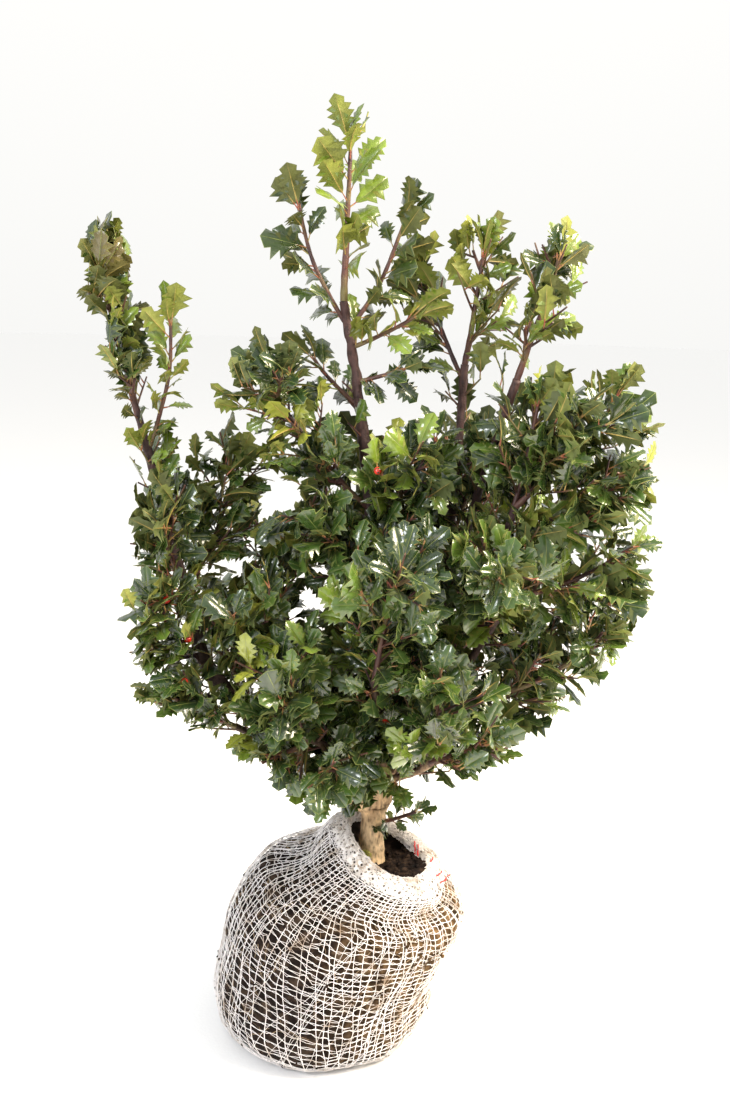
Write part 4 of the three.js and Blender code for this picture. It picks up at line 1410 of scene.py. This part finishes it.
def is_clear(point, owner):
    """True where a twig through the point touches no limb and no other mass's stem."""
    far = np.linalg.norm(obstacles[:, :3] - np.array(point), axis=1)
    room = obstacles[:, 3] + TWIG_FOOT + CLEAR_MARGIN
    return bool(np.all((far > room) | (obstacles[:, 4] == owner)))


underside_x, underside_z = np.array(CROWN_UNDERSIDE, dtype=float).T
left_z, left_x = np.array(CROWN_LEFT, dtype=float).T
eye = CAMERA_AT / MM


def in_crown(point):
    """True inside the crown's ragged outline and outside its open shafts."""
    ragged = EDGE_MM * noise.noise(Vector(point) / EDGE_WAVE_MM)
    lowest = np.interp(point[0], underside_x, underside_z) + FRONT_RISE * max(0, FRONT_Y - point[1])
    leftmost = np.interp(point[2], left_z, left_x)
    if not leftmost + ragged < point[0] < CROWN_RIGHT + ragged or point[2] < lowest + ragged:
        return False
    share = (FRONT_Y - eye.y) / (point[1] - eye.y)
    x, z = lerp(eye.x, point[0], share), lerp(eye.z, point[2], share)
    return all(math.hypot(x - shaft_x, z - shaft_z) > wide for shaft_x, shaft_z, wide in AIR_SHAFTS)


def samples_of(arc):
    """The points of a twig that are tried for room."""
    return [arc.point((i + 1) / CLEAR_SAMPLES) for i in range(CLEAR_SAMPLES)]


def twig_fits(mass, arc):
    """True where the solid mass's rule lets a twig stand."""
    samples = samples_of(arc)
    return all(keeps_to(mass, point) and is_clear(point, mass.number) for point in samples)


def fine_fits(mass, arc):
    """The same rule for a finer twig, within a slightly smaller reach."""
    samples = samples_of(arc)
    inside = all(keeps_to(mass, point, mass.reach) and in_crown(point) for point in samples)
    return inside and all(is_clear(point, mass.number) for point in samples)


def stem_side(stalk, along, turn):
    """The way out of a three-sided stem through the middle of one of its sides."""
    across = UP
    for step in range(min(STEM_STEPS - 1, int(along * STEM_STEPS)) + 1):
        heading = stalk.arc.heading(step / STEM_STEPS)
        across = square_to(heading, across)
    over = heading.cross(across)
    share = math.floor(turn / FULL_TURN * STEM_SIDES) + 0.5
    angle = share / STEM_SIDES * FULL_TURN
    return across * math.cos(angle) + over * math.sin(angle)


def free_side(arc, along, turn):
    """The way out of a round stem at a turn."""
    heading = arc.heading(along)
    across = square_to(heading, UP)
    return across * math.cos(turn) + heading.cross(across) * math.sin(turn)


def side_arc(arc, along, side, spread, reach):
    """A twig that leaves a stem on one side at a spread in degrees and rises a little."""
    foot = arc.point(along)
    angle = math.radians(spread)
    tip = foot + arc.heading(along) * reach * math.cos(angle) + side * reach * math.sin(angle)
    return Arc(foot, tip + UP * TWIG_RISE * reach, 0)


def main_twigs(mass):
    """The side twigs that the solid mass has too."""
    random = seeded_random(TWIG_SEED + mass.number)
    start = random() * FULL_TURN
    twigs = []
    for i in range(mass.twig_count):
        share = i / (mass.twig_count - 1) if mass.twig_count > 1 else 0.5
        along = lerp(TWIG_FIRST, TWIG_LAST, share)
        for go in range(STEM_SIDES):
            turn = start + i * GOLDEN_TURN + go * FULL_TURN / STEM_SIDES
            spread = TWIG_SPREAD + TWIG_SPREAD_RANGE * (random() - 0.5)
            reach = mass.girth * lerp(*TWIG_REACH, random())
            side = stem_side(mass.stem, along, turn)
            arc = side_arc(mass.stem.arc, along, side, spread, reach)
            if twig_fits(mass, arc):
                twigs.append(Stalk(f"{mass.name}_main", arc, TWIG_FOOT, TWIG_TIP))
                break
    return twigs


def fine_twigs(mass, carrier, spacing, reaches, random):
    """Finer twigs along a stem or a main twig, each as long as its room allows."""
    twigs = []
    count = int(carrier.arc.length() / spacing)
    start = random() * FULL_TURN
    for i in range(count):
        along = lerp(*FINE_STATIONS, (i + random() * 0.6) / count)
        spread = lerp(*FINE_SPREADS, along) + FINE_SPREAD_RANGE * (random() - 0.5)
        stretch = lerp(*FINE_STRETCH, random())
        tries = [(reach, go) for reach in reaches for go in range(3)]
        for reach, go in tries:
            turn = start + i * GOLDEN_TURN + go * FULL_TURN / 3
            side = free_side(carrier.arc, along, turn)
            arc = side_arc(carrier.arc, along, side, spread, reach * stretch)
            if fine_fits(mass, arc):
                twigs.append(Stalk(f"{mass.name}_fine", arc, FINE_FOOT, FINE_TIP))
                break
    return twigs


for mass in masses:
    random = seeded_random(FINE_SEED + mass.number)
    mass.reach = OTHER_REACHES.get(mass.name, SPRAY_REACH)
    mass.main = main_twigs(mass)
    room = [mass.girth * share for share in FINE_REACHES]
    short_room = [mass.girth * share for share in SHORT_REACHES]
    mass.fine = []
    if mass.twig_count:
        mass.fine += fine_twigs(mass, mass.stem, FINE_SPACING, room, random)
        for twig in mass.main:
            mass.fine += fine_twigs(mass, twig, FINE_SPACING, short_room, random)
print("main twigs:", sum(len(m.main) for m in masses), "fine:", sum(len(m.fine) for m in masses))

# %% [markdown]
# ## Short twigs on the limbs
# Inside the crown the limbs are not bare: short leafy twigs stand on them between the large
# sprays, so the trunk's top and the boughs are hidden from the front. Each row below gives a
# limb, the stretch of it that is clad, the step between twigs, how long they are, and how far
# from the limb their leaves may reach. The long shoots at the top get only a narrow sleeve.

# %% Clad the limbs
CLAD_LIMBS = [
    # limb, stations from and to, step, twig length and room round the limb in mm
    ("trunk", 0.8, 1.0, 3, 38, 62),
    ("leader", 0.01, 0.3, 5, 54, 72),
    ("leader", 0.3, 0.62, 8, 44, 58),
    ("leader", 0.62, 0.96, 24, 20, 32),
    ("left_stem", 0.12, 1.0, 8, 42, 56),
    ("left_shoot", 0.02, 0.98, 7, 17, 36),
    ("right_stem", 0.08, 1.0, 7, 44, 58),
    ("right_inner_shoot", 0.0, 0.5, 9, 32, 44),
    ("right_inner_shoot", 0.5, 0.98, 14, 18, 30),
    ("right_outer_shoot", 0.0, 0.45, 9, 32, 44),
    ("right_outer_shoot", 0.45, 0.98, 15, 18, 30),
]
CLAD_LIMBS += [(row[0], 0.1, 0.98, 9, 32, 46) for row in LIMBS if row[0].endswith("bough")]
CLAD_SEED = 5000
CLAD_REACHES = (1, 0.75, 0.55)
CLAD_SPREADS = (66, 44)
CLAD_STRETCH = (0.7, 1.15)


def beside(limb, point, room):
    """True where a point is no further from the limb than the room, and in the crown."""
    off = min((Vector(point) - place).length for place in limb.places)
    return off <= room and in_crown(point)


def limb_twig_fits(limb, arc, room):
    """True where a twig keeps near its limb and clear of every other one."""
    samples = samples_of(arc)
    return all(beside(limb, point, room) and is_clear(point, limb.owner) for point in samples)


limb_twigs = []
for row, (name, first, last, step, length, room) in enumerate(CLAD_LIMBS):
    limb = limbs[name]
    limb.places = [limb.arc.point(k / 24) for k in range(25)]
    random = seeded_random(CLAD_SEED + row)
    count = max(1, round(limb.arc.length() * (last - first) / step))
    start = random() * FULL_TURN
    for i in range(count):
        along = lerp(first, last, (i + random() * 0.7) / count)
        stretch = lerp(*CLAD_STRETCH, random())
        for reach, go in [(share * length, go) for share in CLAD_REACHES for go in range(3)]:
            turn = start + i * GOLDEN_TURN + go * FULL_TURN / 3
            side = free_side(limb.arc, along, turn)
            spread = lerp(*CLAD_SPREADS, along) + FINE_SPREAD_RANGE * (random() - 0.5)
            arc = side_arc(limb.arc, along, side, spread, limb.radius(along) + reach * stretch)
            if limb_twig_fits(limb, arc, room):
                limb_twigs.append((Stalk(f"{name}_twig", arc, FINE_FOOT, FINE_TIP), limb, room))
                break
print("short twigs on the limbs:", len(limb_twigs))

# %% [markdown]
# ## One leaf
# A holly leaf is a stiff oval with small spines on each side that point up and down in turn, a
# pale thin edge, a pale midrib and a matt yellow-green underside. Only half of it is drawn, flat:
# its outline as one face for the top and one for the underside. Both are cut across at the same
# places, so that they bend alike and never cross. A slanting cut on the underside parts off the
# rib. An inset raises the top a little, which leaves the narrow pale edge round it and a groove
# along the middle, and it keeps the two faces apart. A mirror makes the other half. Then
# every corner is lifted by the same few bends: the fold along the midrib, the droop of the tip
# and the wave of the margin. A few leaves that differ in these numbers are variety enough.

# %% Draw the leaf's variants
LEAF_KINDS = [
    # spines a side, half width, fold, droop, wave, curl: shares of the length
    (3, 0.31, 0.30, 0.10, 0.026, 0.40),
    (4, 0.28, 0.48, 0.24, 0.014, 0.30),
    (3, 0.33, 0.20, 0.06, 0.024, 0.50),
    (4, 0.31, 0.25, 0.34, 0.014, 0.20),
    (3, 0.29, 0.40, -0.12, 0.028, 0.42),
]
BLADE, EDGE, UNDERSIDE, RIB = range(4)
EDGE_WIDTH = 0.01
BLADE_RISE = 0.007
RIB_WIDTH = 0.022
RIB_DEPTH = 0.02
BASE_SHARE = 0.1
SPINES_FROM = 0.26
SPINES_TO = 0.93
SPINE_OUT = 1.42
NOTCH_IN = 0.8
WIDEST_POWER = 1.15


def half_width(along, widest):
    """The smooth outline of a leaf: broadest past its middle, with a wedge-shaped base."""
    return widest * math.sin(math.pi * along**WIDEST_POWER) ** 0.78


def leaf_cuts(spines):
    """The notches between the spines, where the leaf is cut across."""
    pitch = (SPINES_TO - SPINES_FROM) / spines
    return [SPINES_FROM + i * pitch for i in range(spines)]


def leaf_outline(spines, widest):
    """Half of a leaf's outline from its base to its tip."""
    pitch = (SPINES_TO - SPINES_FROM) / spines
    points = [(0.0, 0.0), (BASE_SHARE, half_width(BASE_SHARE, widest))]
    for notch in leaf_cuts(spines):
        points.append((notch, NOTCH_IN * half_width(notch, widest)))
        points.append((notch + 0.68 * pitch, SPINE_OUT * half_width(notch + 0.6 * pitch, widest)))
    points.append((1.0, 0.0))
    return points


def bend_leaf(point, spines, widest, fold, droop, wave, curl):
    """Where a corner of the flat leaf lies once the leaf is folded, drooped and waved."""
    x, y = point.x, abs(point.y)
    share = y / widest
    step = round((x - SPINES_FROM) * spines / (SPINES_TO - SPINES_FROM))
    swing = wave if step % 2 else -wave
    lift = fold * y + swing * min(1, share) ** 3 - curl * y * share - droop * x**2
    return Vector((x, point.y * (1 - 0.25 * fold), point.z + lift))


def cut_across(bm, places):
    """Cuts all faces square across the leaf at each of the places."""
    for cut in places:
        geom = bm.verts[:] + bm.edges[:] + bm.faces[:]
        bmesh.ops.bisect_plane(bm, geom=geom, plane_co=(cut, 0, 0), plane_no=(1, 0, 0))


def leaf_bmesh(spines, widest, fold, droop, wave, curl):
    """One leaf, a unit long, with its base at the origin and its upper face up."""
    cuts = leaf_cuts(spines)[:: spines - 2]
    bm = bmesh.new()
    outline = [bm.verts.new((x, y, 0)) for x, y in leaf_outline(spines, widest)]
    under = [bm.verts.new((x, 0, -RIB_DEPTH)) for x in cuts]
    top = bm.faces.new(outline[::-1])
    bottom = bm.faces.new(outline + under[::-1])
    top.material_index, bottom.material_index = BLADE, UNDERSIDE
    slant = Vector((1, -RIB_WIDTH, 0)).cross(UP)
    geom = [bottom, *bottom.edges, *bottom.verts]
    bmesh.ops.bisect_plane(bm, geom=geom, plane_co=(1, 0, 0), plane_no=slant)
    for face in bm.faces:
        if face.material_index == UNDERSIDE and max(vert.co.y for vert in face.verts) < 0.04:
            face.material_index = RIB
    cut_across(bm, cuts)
    blades = [face for face in bm.faces if face.material_index == BLADE]
    for face in blades:
        face.material_index = EDGE
    bm.normal_update()
    raised = {"thickness": EDGE_WIDTH, "depth": BLADE_RISE, "use_boundary": True}
    bmesh.ops.inset_region(bm, faces=blades, **raised)
    for face in blades:
        face.material_index = BLADE
    bmesh.ops.mirror(bm, geom=bm.verts[:] + bm.edges[:] + bm.faces[:], axis="Y", merge_dist=1e-5)
    bmesh.ops.recalc_face_normals(bm, faces=bm.faces)
    for vert in bm.verts:
        vert.co = bend_leaf(vert.co, spines, widest, fold, droop, wave, curl)
    return bm


leaf_shapes = [Shape(leaf_bmesh(*kind)) for kind in LEAF_KINDS]
print("faces of each leaf:", [len(shape.sizes) for shape in leaf_shapes])
print("triangles of each leaf:", [int((shape.sizes - 2).sum()) for shape in leaf_shapes])
print("faces by slot:", np.bincount(leaf_shapes[0].slots).tolist())

# %% [markdown]
# ## Leaves on their twigs
# Holly leaves stand one by one round the twig, each a golden turn on from the last, and crowd in
# a rosette at its tip. Low on the twig they spread wide, near the tip they point forward. Inside
# the crown their glossy side turns up and out to the light, and on the upright top shoots it
# turns in to the stem, so the pale undersides show there. A leaf that would leave its space,
# touch a limb or lie on another leaf is turned on or left out.

# %% Place the leaves
LEAF_LOW_MM = 29
LEAF_HIGH_MM = 39
HIGH_LEAVES = (540, 720)
HIGH_TWIST = 30
LEAF_SIZES = (0.74, 1.14)
STALK_SHARE = 0.18
CROWN_X = 25
LEAN_FOOT = 68
LEAN_TIP = 40
LEAN_SPREAD = 30
LEAF_TWIST = 52
LEAF_FORWARD = 0.3
LEAF_SEED = 7000
OUTWARD = 1.35
OUTWARD_FADE = (520, 660)
LAST_LEAF = 0.94
ROSETTE_AT = 0.985
ROSETTE_LEAN = (40, 8)
LEAF_SPACING = 6.6
SLIM_SPACING = 16
SLIM_MASSES = ("right_inner_top", "right_inner_left_spray", "right_outer_top")
ROOM_BETWEEN = 6.0
LEAF_TRIES = 6
SMALLEST_SIZE = 0.6

leaf_centres = np.full((14000, 3), 1e6)
leaves = []


class Leaf:
    """One leaf: its root on the wood, its direction, upper face, length in mm and spray."""

    def __init__(self, stalk, along, turn, lean, size, random):
        arc, heading = stalk.arc, stalk.arc.heading(along)
        out = free_side(arc, along, turn)
        self.root = arc.point(along) + out * stalk.radius(along) * 0.8
        angle = math.radians(lean + LEAN_SPREAD * (random() - 0.5))
        self.direction = (heading * math.cos(angle) + out * math.sin(angle)).normalized()
        away = Vector((self.root.x - CROWN_X, self.root.y, 0)).normalized()
        outward = lerp(OUTWARD, 0.0, smooth_share(self.root.z, *OUTWARD_FADE))
        light = UP + away * outward + heading * LEAF_FORWARD
        self.face = square_to(self.direction, light)
        high = smooth_share(self.root.z, *HIGH_LEAVES)
        swing = 2 * random() - 1
        twist = math.radians(LEAF_TWIST * swing + math.copysign(HIGH_TWIST * high, swing))
        self.face.rotate(Quaternion(self.direction, twist))
        usual = lerp(LEAF_LOW_MM, LEAF_HIGH_MM, high)
        self.length = usual * size * lerp(*LEAF_SIZES, random())
        self.stalk = STALK_SHARE * self.length
        self.side = self.face.cross(self.direction)

    def at(self, along, across=0.0):
        """A point of the leaf, by shares of its length."""
        ahead = self.direction * (self.stalk + along * self.length)
        return self.root + ahead + self.side * across * self.length


def leaf_fits(leaf, inside, owner):
    """True where a leaf keeps to its space, clear of wood and of the leaves already there."""
    ends = [leaf.at(1), leaf.at(0.55, 0.3), leaf.at(0.55, -0.3)]
    if not all(inside(point) for point in ends):
        return False
    near = np.linalg.norm(leaf_centres[: len(leaves)] - np.array(leaf.at(0.5)), axis=1)
    if len(near) and near.min() < ROOM_BETWEEN * leaf.length / LEAF_LOW_MM:
        return False
    offsets = obstacles[:, :3] - np.array(leaf.root)
    room = obstacles[:, 3] + CLEAR_MARGIN
    along = offsets @ np.array(leaf.direction)
    past = (along < leaf.stalk * 0.5) | (along > leaf.stalk + leaf.length + room)
    beside_it = np.abs(offsets @ np.array(leaf.side)) > 0.3 * leaf.length + room
    above_it = np.abs(offsets @ np.array(leaf.face)) > 0.1 * leaf.length + room
    return bool(np.all(past | beside_it | above_it | (obstacles[:, 4] == owner)))


def add_leaves(stalk, spacing, first, rosette, inside, owner, size, random, spray):
    """Leaves along a stalk and a rosette at its tip."""
    count = max(1, round(stalk.arc.length() * (1 - first) / spacing))
    start = random() * FULL_TURN
    stations = [(lerp(first, LAST_LEAF, i / count), 0) for i in range(count)]
    stations += [(ROSETTE_AT, i + 1) for i in range(rosette)]
    for i, (along, crowd) in enumerate(stations):
        lean = lerp(*ROSETTE_LEAN, crowd / rosette) if crowd else lerp(LEAN_FOOT, LEAN_TIP, along)
        for go in range(LEAF_TRIES):
            turn = start + i * GOLDEN_TURN + go * FULL_TURN / LEAF_TRIES
            leaf = Leaf(stalk, along, turn, lean, size, random)
            if leaf_fits(leaf, inside, owner):
                leaf_centres[len(leaves)] = leaf.at(0.5)
                leaf.spray = spray
                leaf.owner = owner
                leaves.append(leaf)
                stalk.leafy = True
                break


sprays = []
for mass in masses:
    random = seeded_random(LEAF_SEED + mass.number)
    usual = SLIM_SPACING if mass.name in SLIM_MASSES else LEAF_SPACING
    spacing = usual * lerp(0.3, 1, mass.size)
    leaf_reach = max(mass.reach, 0.8 if mass.twig_count else 1.0)

    def in_space(point, mass=mass, leaf_reach=leaf_reach):
        return keeps_to(mass, point, leaf_reach) and (mass.reach > 1 or in_crown(point))

    size = max(SMALLEST_SIZE, mass.size)
    for stalk in [*mass.main, *mass.fine]:
        sprays.append(stalk.arc.tip)
        add_leaves(stalk, spacing, 0.25, 3, in_space, mass.number, size, random, len(sprays) - 1)
    sprays.append(mass.stem.arc.tip)
    add_leaves(mass.stem, spacing, 0.08, 4, in_space, mass.number, size, random, len(sprays) - 1)
spray_leaves = len(leaves)
random = seeded_random(LEAF_SEED + len(masses))
for stalk, limb, room in limb_twigs:

    def in_sleeve(point, limb=limb, room=room):
        return beside(limb, point, room)

    sprays.append(stalk.arc.tip)
    add_leaves(stalk, LEAF_SPACING, 0.4, 3, in_sleeve, None, 0.95, random, len(sprays) - 1)
per_mass = np.bincount([leaf.owner for leaf in leaves[:spray_leaves]], minlength=len(masses))
print("leaves:", len(leaves), "of them on limbs:", len(leaves) - spray_leaves)
print("leaves by mass:", per_mass.tolist())

# %% [markdown]
# ## Twigs and leaf stalks as meshes
# The stems, the twigs and the short reddish leaf stalks are three lists of tubes. A stem is six
# sided, a twig the same, and a leaf stalk is so thin that four sides will do.

# %% Make the twigs and the leaf stalks
def stalk_line(stalk, step=7):
    """A stalk's centreline as a line for the tubes helper."""
    count = max(2, round(stalk.arc.length() / step))
    shares = [i / count for i in range(count + 1)]
    points = np.array([wander(stalk.arc.point(s)) for s in shares])
    radii = np.array([stalk.radius(s) * (1 + 0.12 * (i % 2)) for i, s in enumerate(shares)])
    return points, radii, False


twig_finish = noisy_finish(
    "twig_finish",
    tone=(38, 4),
    stops=[(0.34, (0.05, 0.024, 0.026)), (0.5, (0.11, 0.045, 0.032)), (0.68, (0.16, 0.13, 0.045))],
    bump=(900, 3, 0.0004),
    rough=(90, 3, 0.35, 0.65),
    Roughness=0.5,
)
mass_names = [mass.name for mass in masses]
twig_lines = [stalk_line(mass.stem) for mass in masses]
side_twigs = [twig for mass in masses for twig in mass.fine]
side_twigs += [twig for twig, limb, room in limb_twigs]
twig_lines += [stalk_line(twig) for mass in masses for twig in mass.main]
twig_lines += [stalk_line(twig) for twig in side_twigs if twig.leafy]
twigs = tube_piece("twigs", twig_lines, twig_finish, 1)
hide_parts(*mass_names)

leaf_stalk_finish = noisy_finish(
    "leaf_stalk_finish",
    tone=(60, 3),
    stops=[(0.38, (0.3, 0.08, 0.05)), (0.52, (0.36, 0.2, 0.07)), (0.64, (0.3, 0.33, 0.1))],
    bump=(1500, 3, 0.0002),
    Roughness=0.45,
)
leaf_stalk_lines = []
for leaf in leaves:
    foot = wander(leaf.root)
    end = foot + leaf.direction * (leaf.stalk + 0.1 * leaf.length)
    leaf_stalk_lines.append((np.array([foot, end]), np.array([0.75, 0.45]), False))
leaf_stalks = tube_piece("leaf_stalks", leaf_stalk_lines, leaf_stalk_finish)
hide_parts(*mass_names)
print("twig faces:", len(twigs.data.polygons), "stalk faces:", len(leaf_stalks.data.polygons))

# %% [markdown]
# ## Leaf tints
# Each spray gets one tint, so colours change from twig to twig as they do on the plant: deep
# blue-green, dark and mid green by chance, the young, fresh and lime tints mostly high up, and a
# few bronze sprays far out on the left. The tints are partly the leaves' own colour and partly
# painted light: the deep tint is darkened as painted shade, and the fresh and lime tints are
# lightened as painted light shining through the leaves. A tint is a plain colour for the blade and
# another for the underside, with a little mottling over it.

# %% Deal out tints and join the leaves
TINTS = {
    # name: (blade, underside)
    # the deepest tint is partly painted shade; the fresh and lime tints are partly painted light
    # shining through the leaves
    "deep": ((0.02, 0.042, 0.011), (0.085, 0.105, 0.03)),
    "dark": ((0.036, 0.072, 0.013), (0.12, 0.145, 0.036)),
    "mid": ((0.07, 0.122, 0.017), (0.18, 0.2, 0.042)),
    "fresh": ((0.135, 0.2, 0.022), (0.17, 0.19, 0.028)),
    "young": ((0.03, 0.055, 0.009), (0.085, 0.094, 0.016)),
    "lime": ((0.25, 0.275, 0.035), (0.25, 0.27, 0.034)),
    "bronze": ((0.1, 0.08, 0.02), (0.15, 0.125, 0.03)),
}
EDGE_COLOUR = (0.17, 0.2, 0.05)
RIB_COLOUR = (0.36, 0.27, 0.07)
WAX = 0.8
WAX_ROUGHNESS = 0.15
MAX_LEAVES = 1400
TINT_SEED = 40


def mottled(name, colour, scale, spread, roughness, wax=0.0):
    """A leaf finish: one plain colour with lighter and darker mottling, and perhaps a wax coat."""
    dark = tuple(part * (1 - spread) for part in colour)
    light = tuple(part * (1 + spread) for part in colour)
    return noisy_finish(
        name,
        tone=(scale, 3),
        stops=[(0.36, dark), (0.64, light)],
        bump=(360, 2, 0.0005),
        rough=(45, 2, *roughness),
        Roughness=lerp(*roughness, 0.5),
        Coat_Weight=wax,
        Coat_Roughness=WAX_ROUGHNESS,
    )


def tint_of(tip, random):
    """The tint of a spray, by how high and how far out its tip is, and by chance."""
    chance = random()
    high = smooth_share(tip.z, 570, 700)
    if tip.x < -190 and tip.z > 660 and chance < 0.3:
        return "bronze"
    if random() < high:
        return "young" if chance < 0.5 else ("fresh" if chance < 0.85 else "lime")
    if chance < 0.32:
        return "deep"
    if chance < 0.68:
        return "dark"
    if chance < 0.88:
        return "mid"
    return "fresh" if chance < 0.965 else "lime"


tint_random = seeded_random(TINT_SEED)
spray_tints = [tint_of(tip, tint_random) for tip in sprays]
kind_random = seeded_random(TINT_SEED + 1)
edge_finish = mottled("leaf_edge_finish", EDGE_COLOUR, 80, 0.3, (0.3, 0.5))
rib_finish = mottled("leaf_rib_finish", RIB_COLOUR, 80, 0.3, (0.4, 0.6))
rows_by_tint = {tint: [] for tint in TINTS}
for leaf in leaves:
    turn = np.array([leaf.direction, leaf.side, leaf.face]).T * leaf.length
    base = np.array(wander(leaf.root) + leaf.direction * leaf.stalk)
    kind = int(kind_random() * len(leaf_shapes))
    rows_by_tint[spray_tints[leaf.spray]].append((kind, turn, base, leaf.owner))
for tint, rows in rows_by_tint.items():
    blade, under = TINTS[tint]
    blade_finish = mottled(f"leaf_{tint}_finish", blade, 110, 0.18, (0.2, 0.36), WAX)
    under_finish = mottled(f"leaf_{tint}_under_finish", under, 110, 0.18, (0.5, 0.65))
    for part, start in enumerate(range(0, len(rows), MAX_LEAVES)):
        some = rows[start : start + MAX_LEAVES]
        name = f"leaves_{tint}_{part + 1}"
        mesh = joined_copies(name, leaf_shapes, [row[:3] for row in some])
        piece = new_piece(name, mesh, [blade_finish, edge_finish, under_finish, rib_finish])
        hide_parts(*sorted({masses[row[3]].name for row in some if row[3] is not None}))
    print(tint, "leaves:", len(rows))

# %% [markdown]
# ## A few berries
# A handful of last year's berries still hang among the leaves. A berry is a small ball with a dark
# dimple where the flower was. It sits in a leaf's axil, so each one below is put at the root of
# the leaf nearest to a chosen place, on the side that faces outwards.

# %% Add the berries
BERRY_PLACES = [(-125, -80, 403), (-44, -80, 333), (36, -80, 337), (43, -80, 546), (-150, -60, 440)]
BERRY_PLACES += [(-118, -70, 378), (176, -60, 500), (92, 90, 400)]
BERRY_MM = 3.5
DIMPLE = 0.86

berry_bm = bmesh.new()
bmesh.ops.create_icosphere(berry_bm, subdivisions=2, radius=1)
for face in berry_bm.faces:
    face.material_index = int(face.calc_center_median().x > DIMPLE)
berry_finish = mottled("berry_finish", (0.55, 0.025, 0.012), 300, 0.3, (0.2, 0.4), WAX)
dimple_finish = mottled("berry_dimple_finish", (0.06, 0.03, 0.02), 300, 0.3, (0.6, 0.8))
leaf_roots = np.array([leaf.root for leaf in leaves])
berry_rows = []
for place in BERRY_PLACES:
    leaf = leaves[int(np.linalg.norm(leaf_roots - np.array(place), axis=1).argmin())]
    out = Vector((leaf.root.x - CROWN_X, leaf.root.y, -20)).normalized()
    side = square_to(out, UP)
    turn = np.array([out, side, out.cross(side)]).T * BERRY_MM
    berry_rows.append((0, turn, np.array(wander(leaf.root) + out * 0.9 * BERRY_MM)))
berry_mesh = joined_copies("berries", [Shape(berry_bm)], berry_rows)
new_piece("berries", berry_mesh, [berry_finish, dimple_finish])
print("berries:", len(berry_rows))
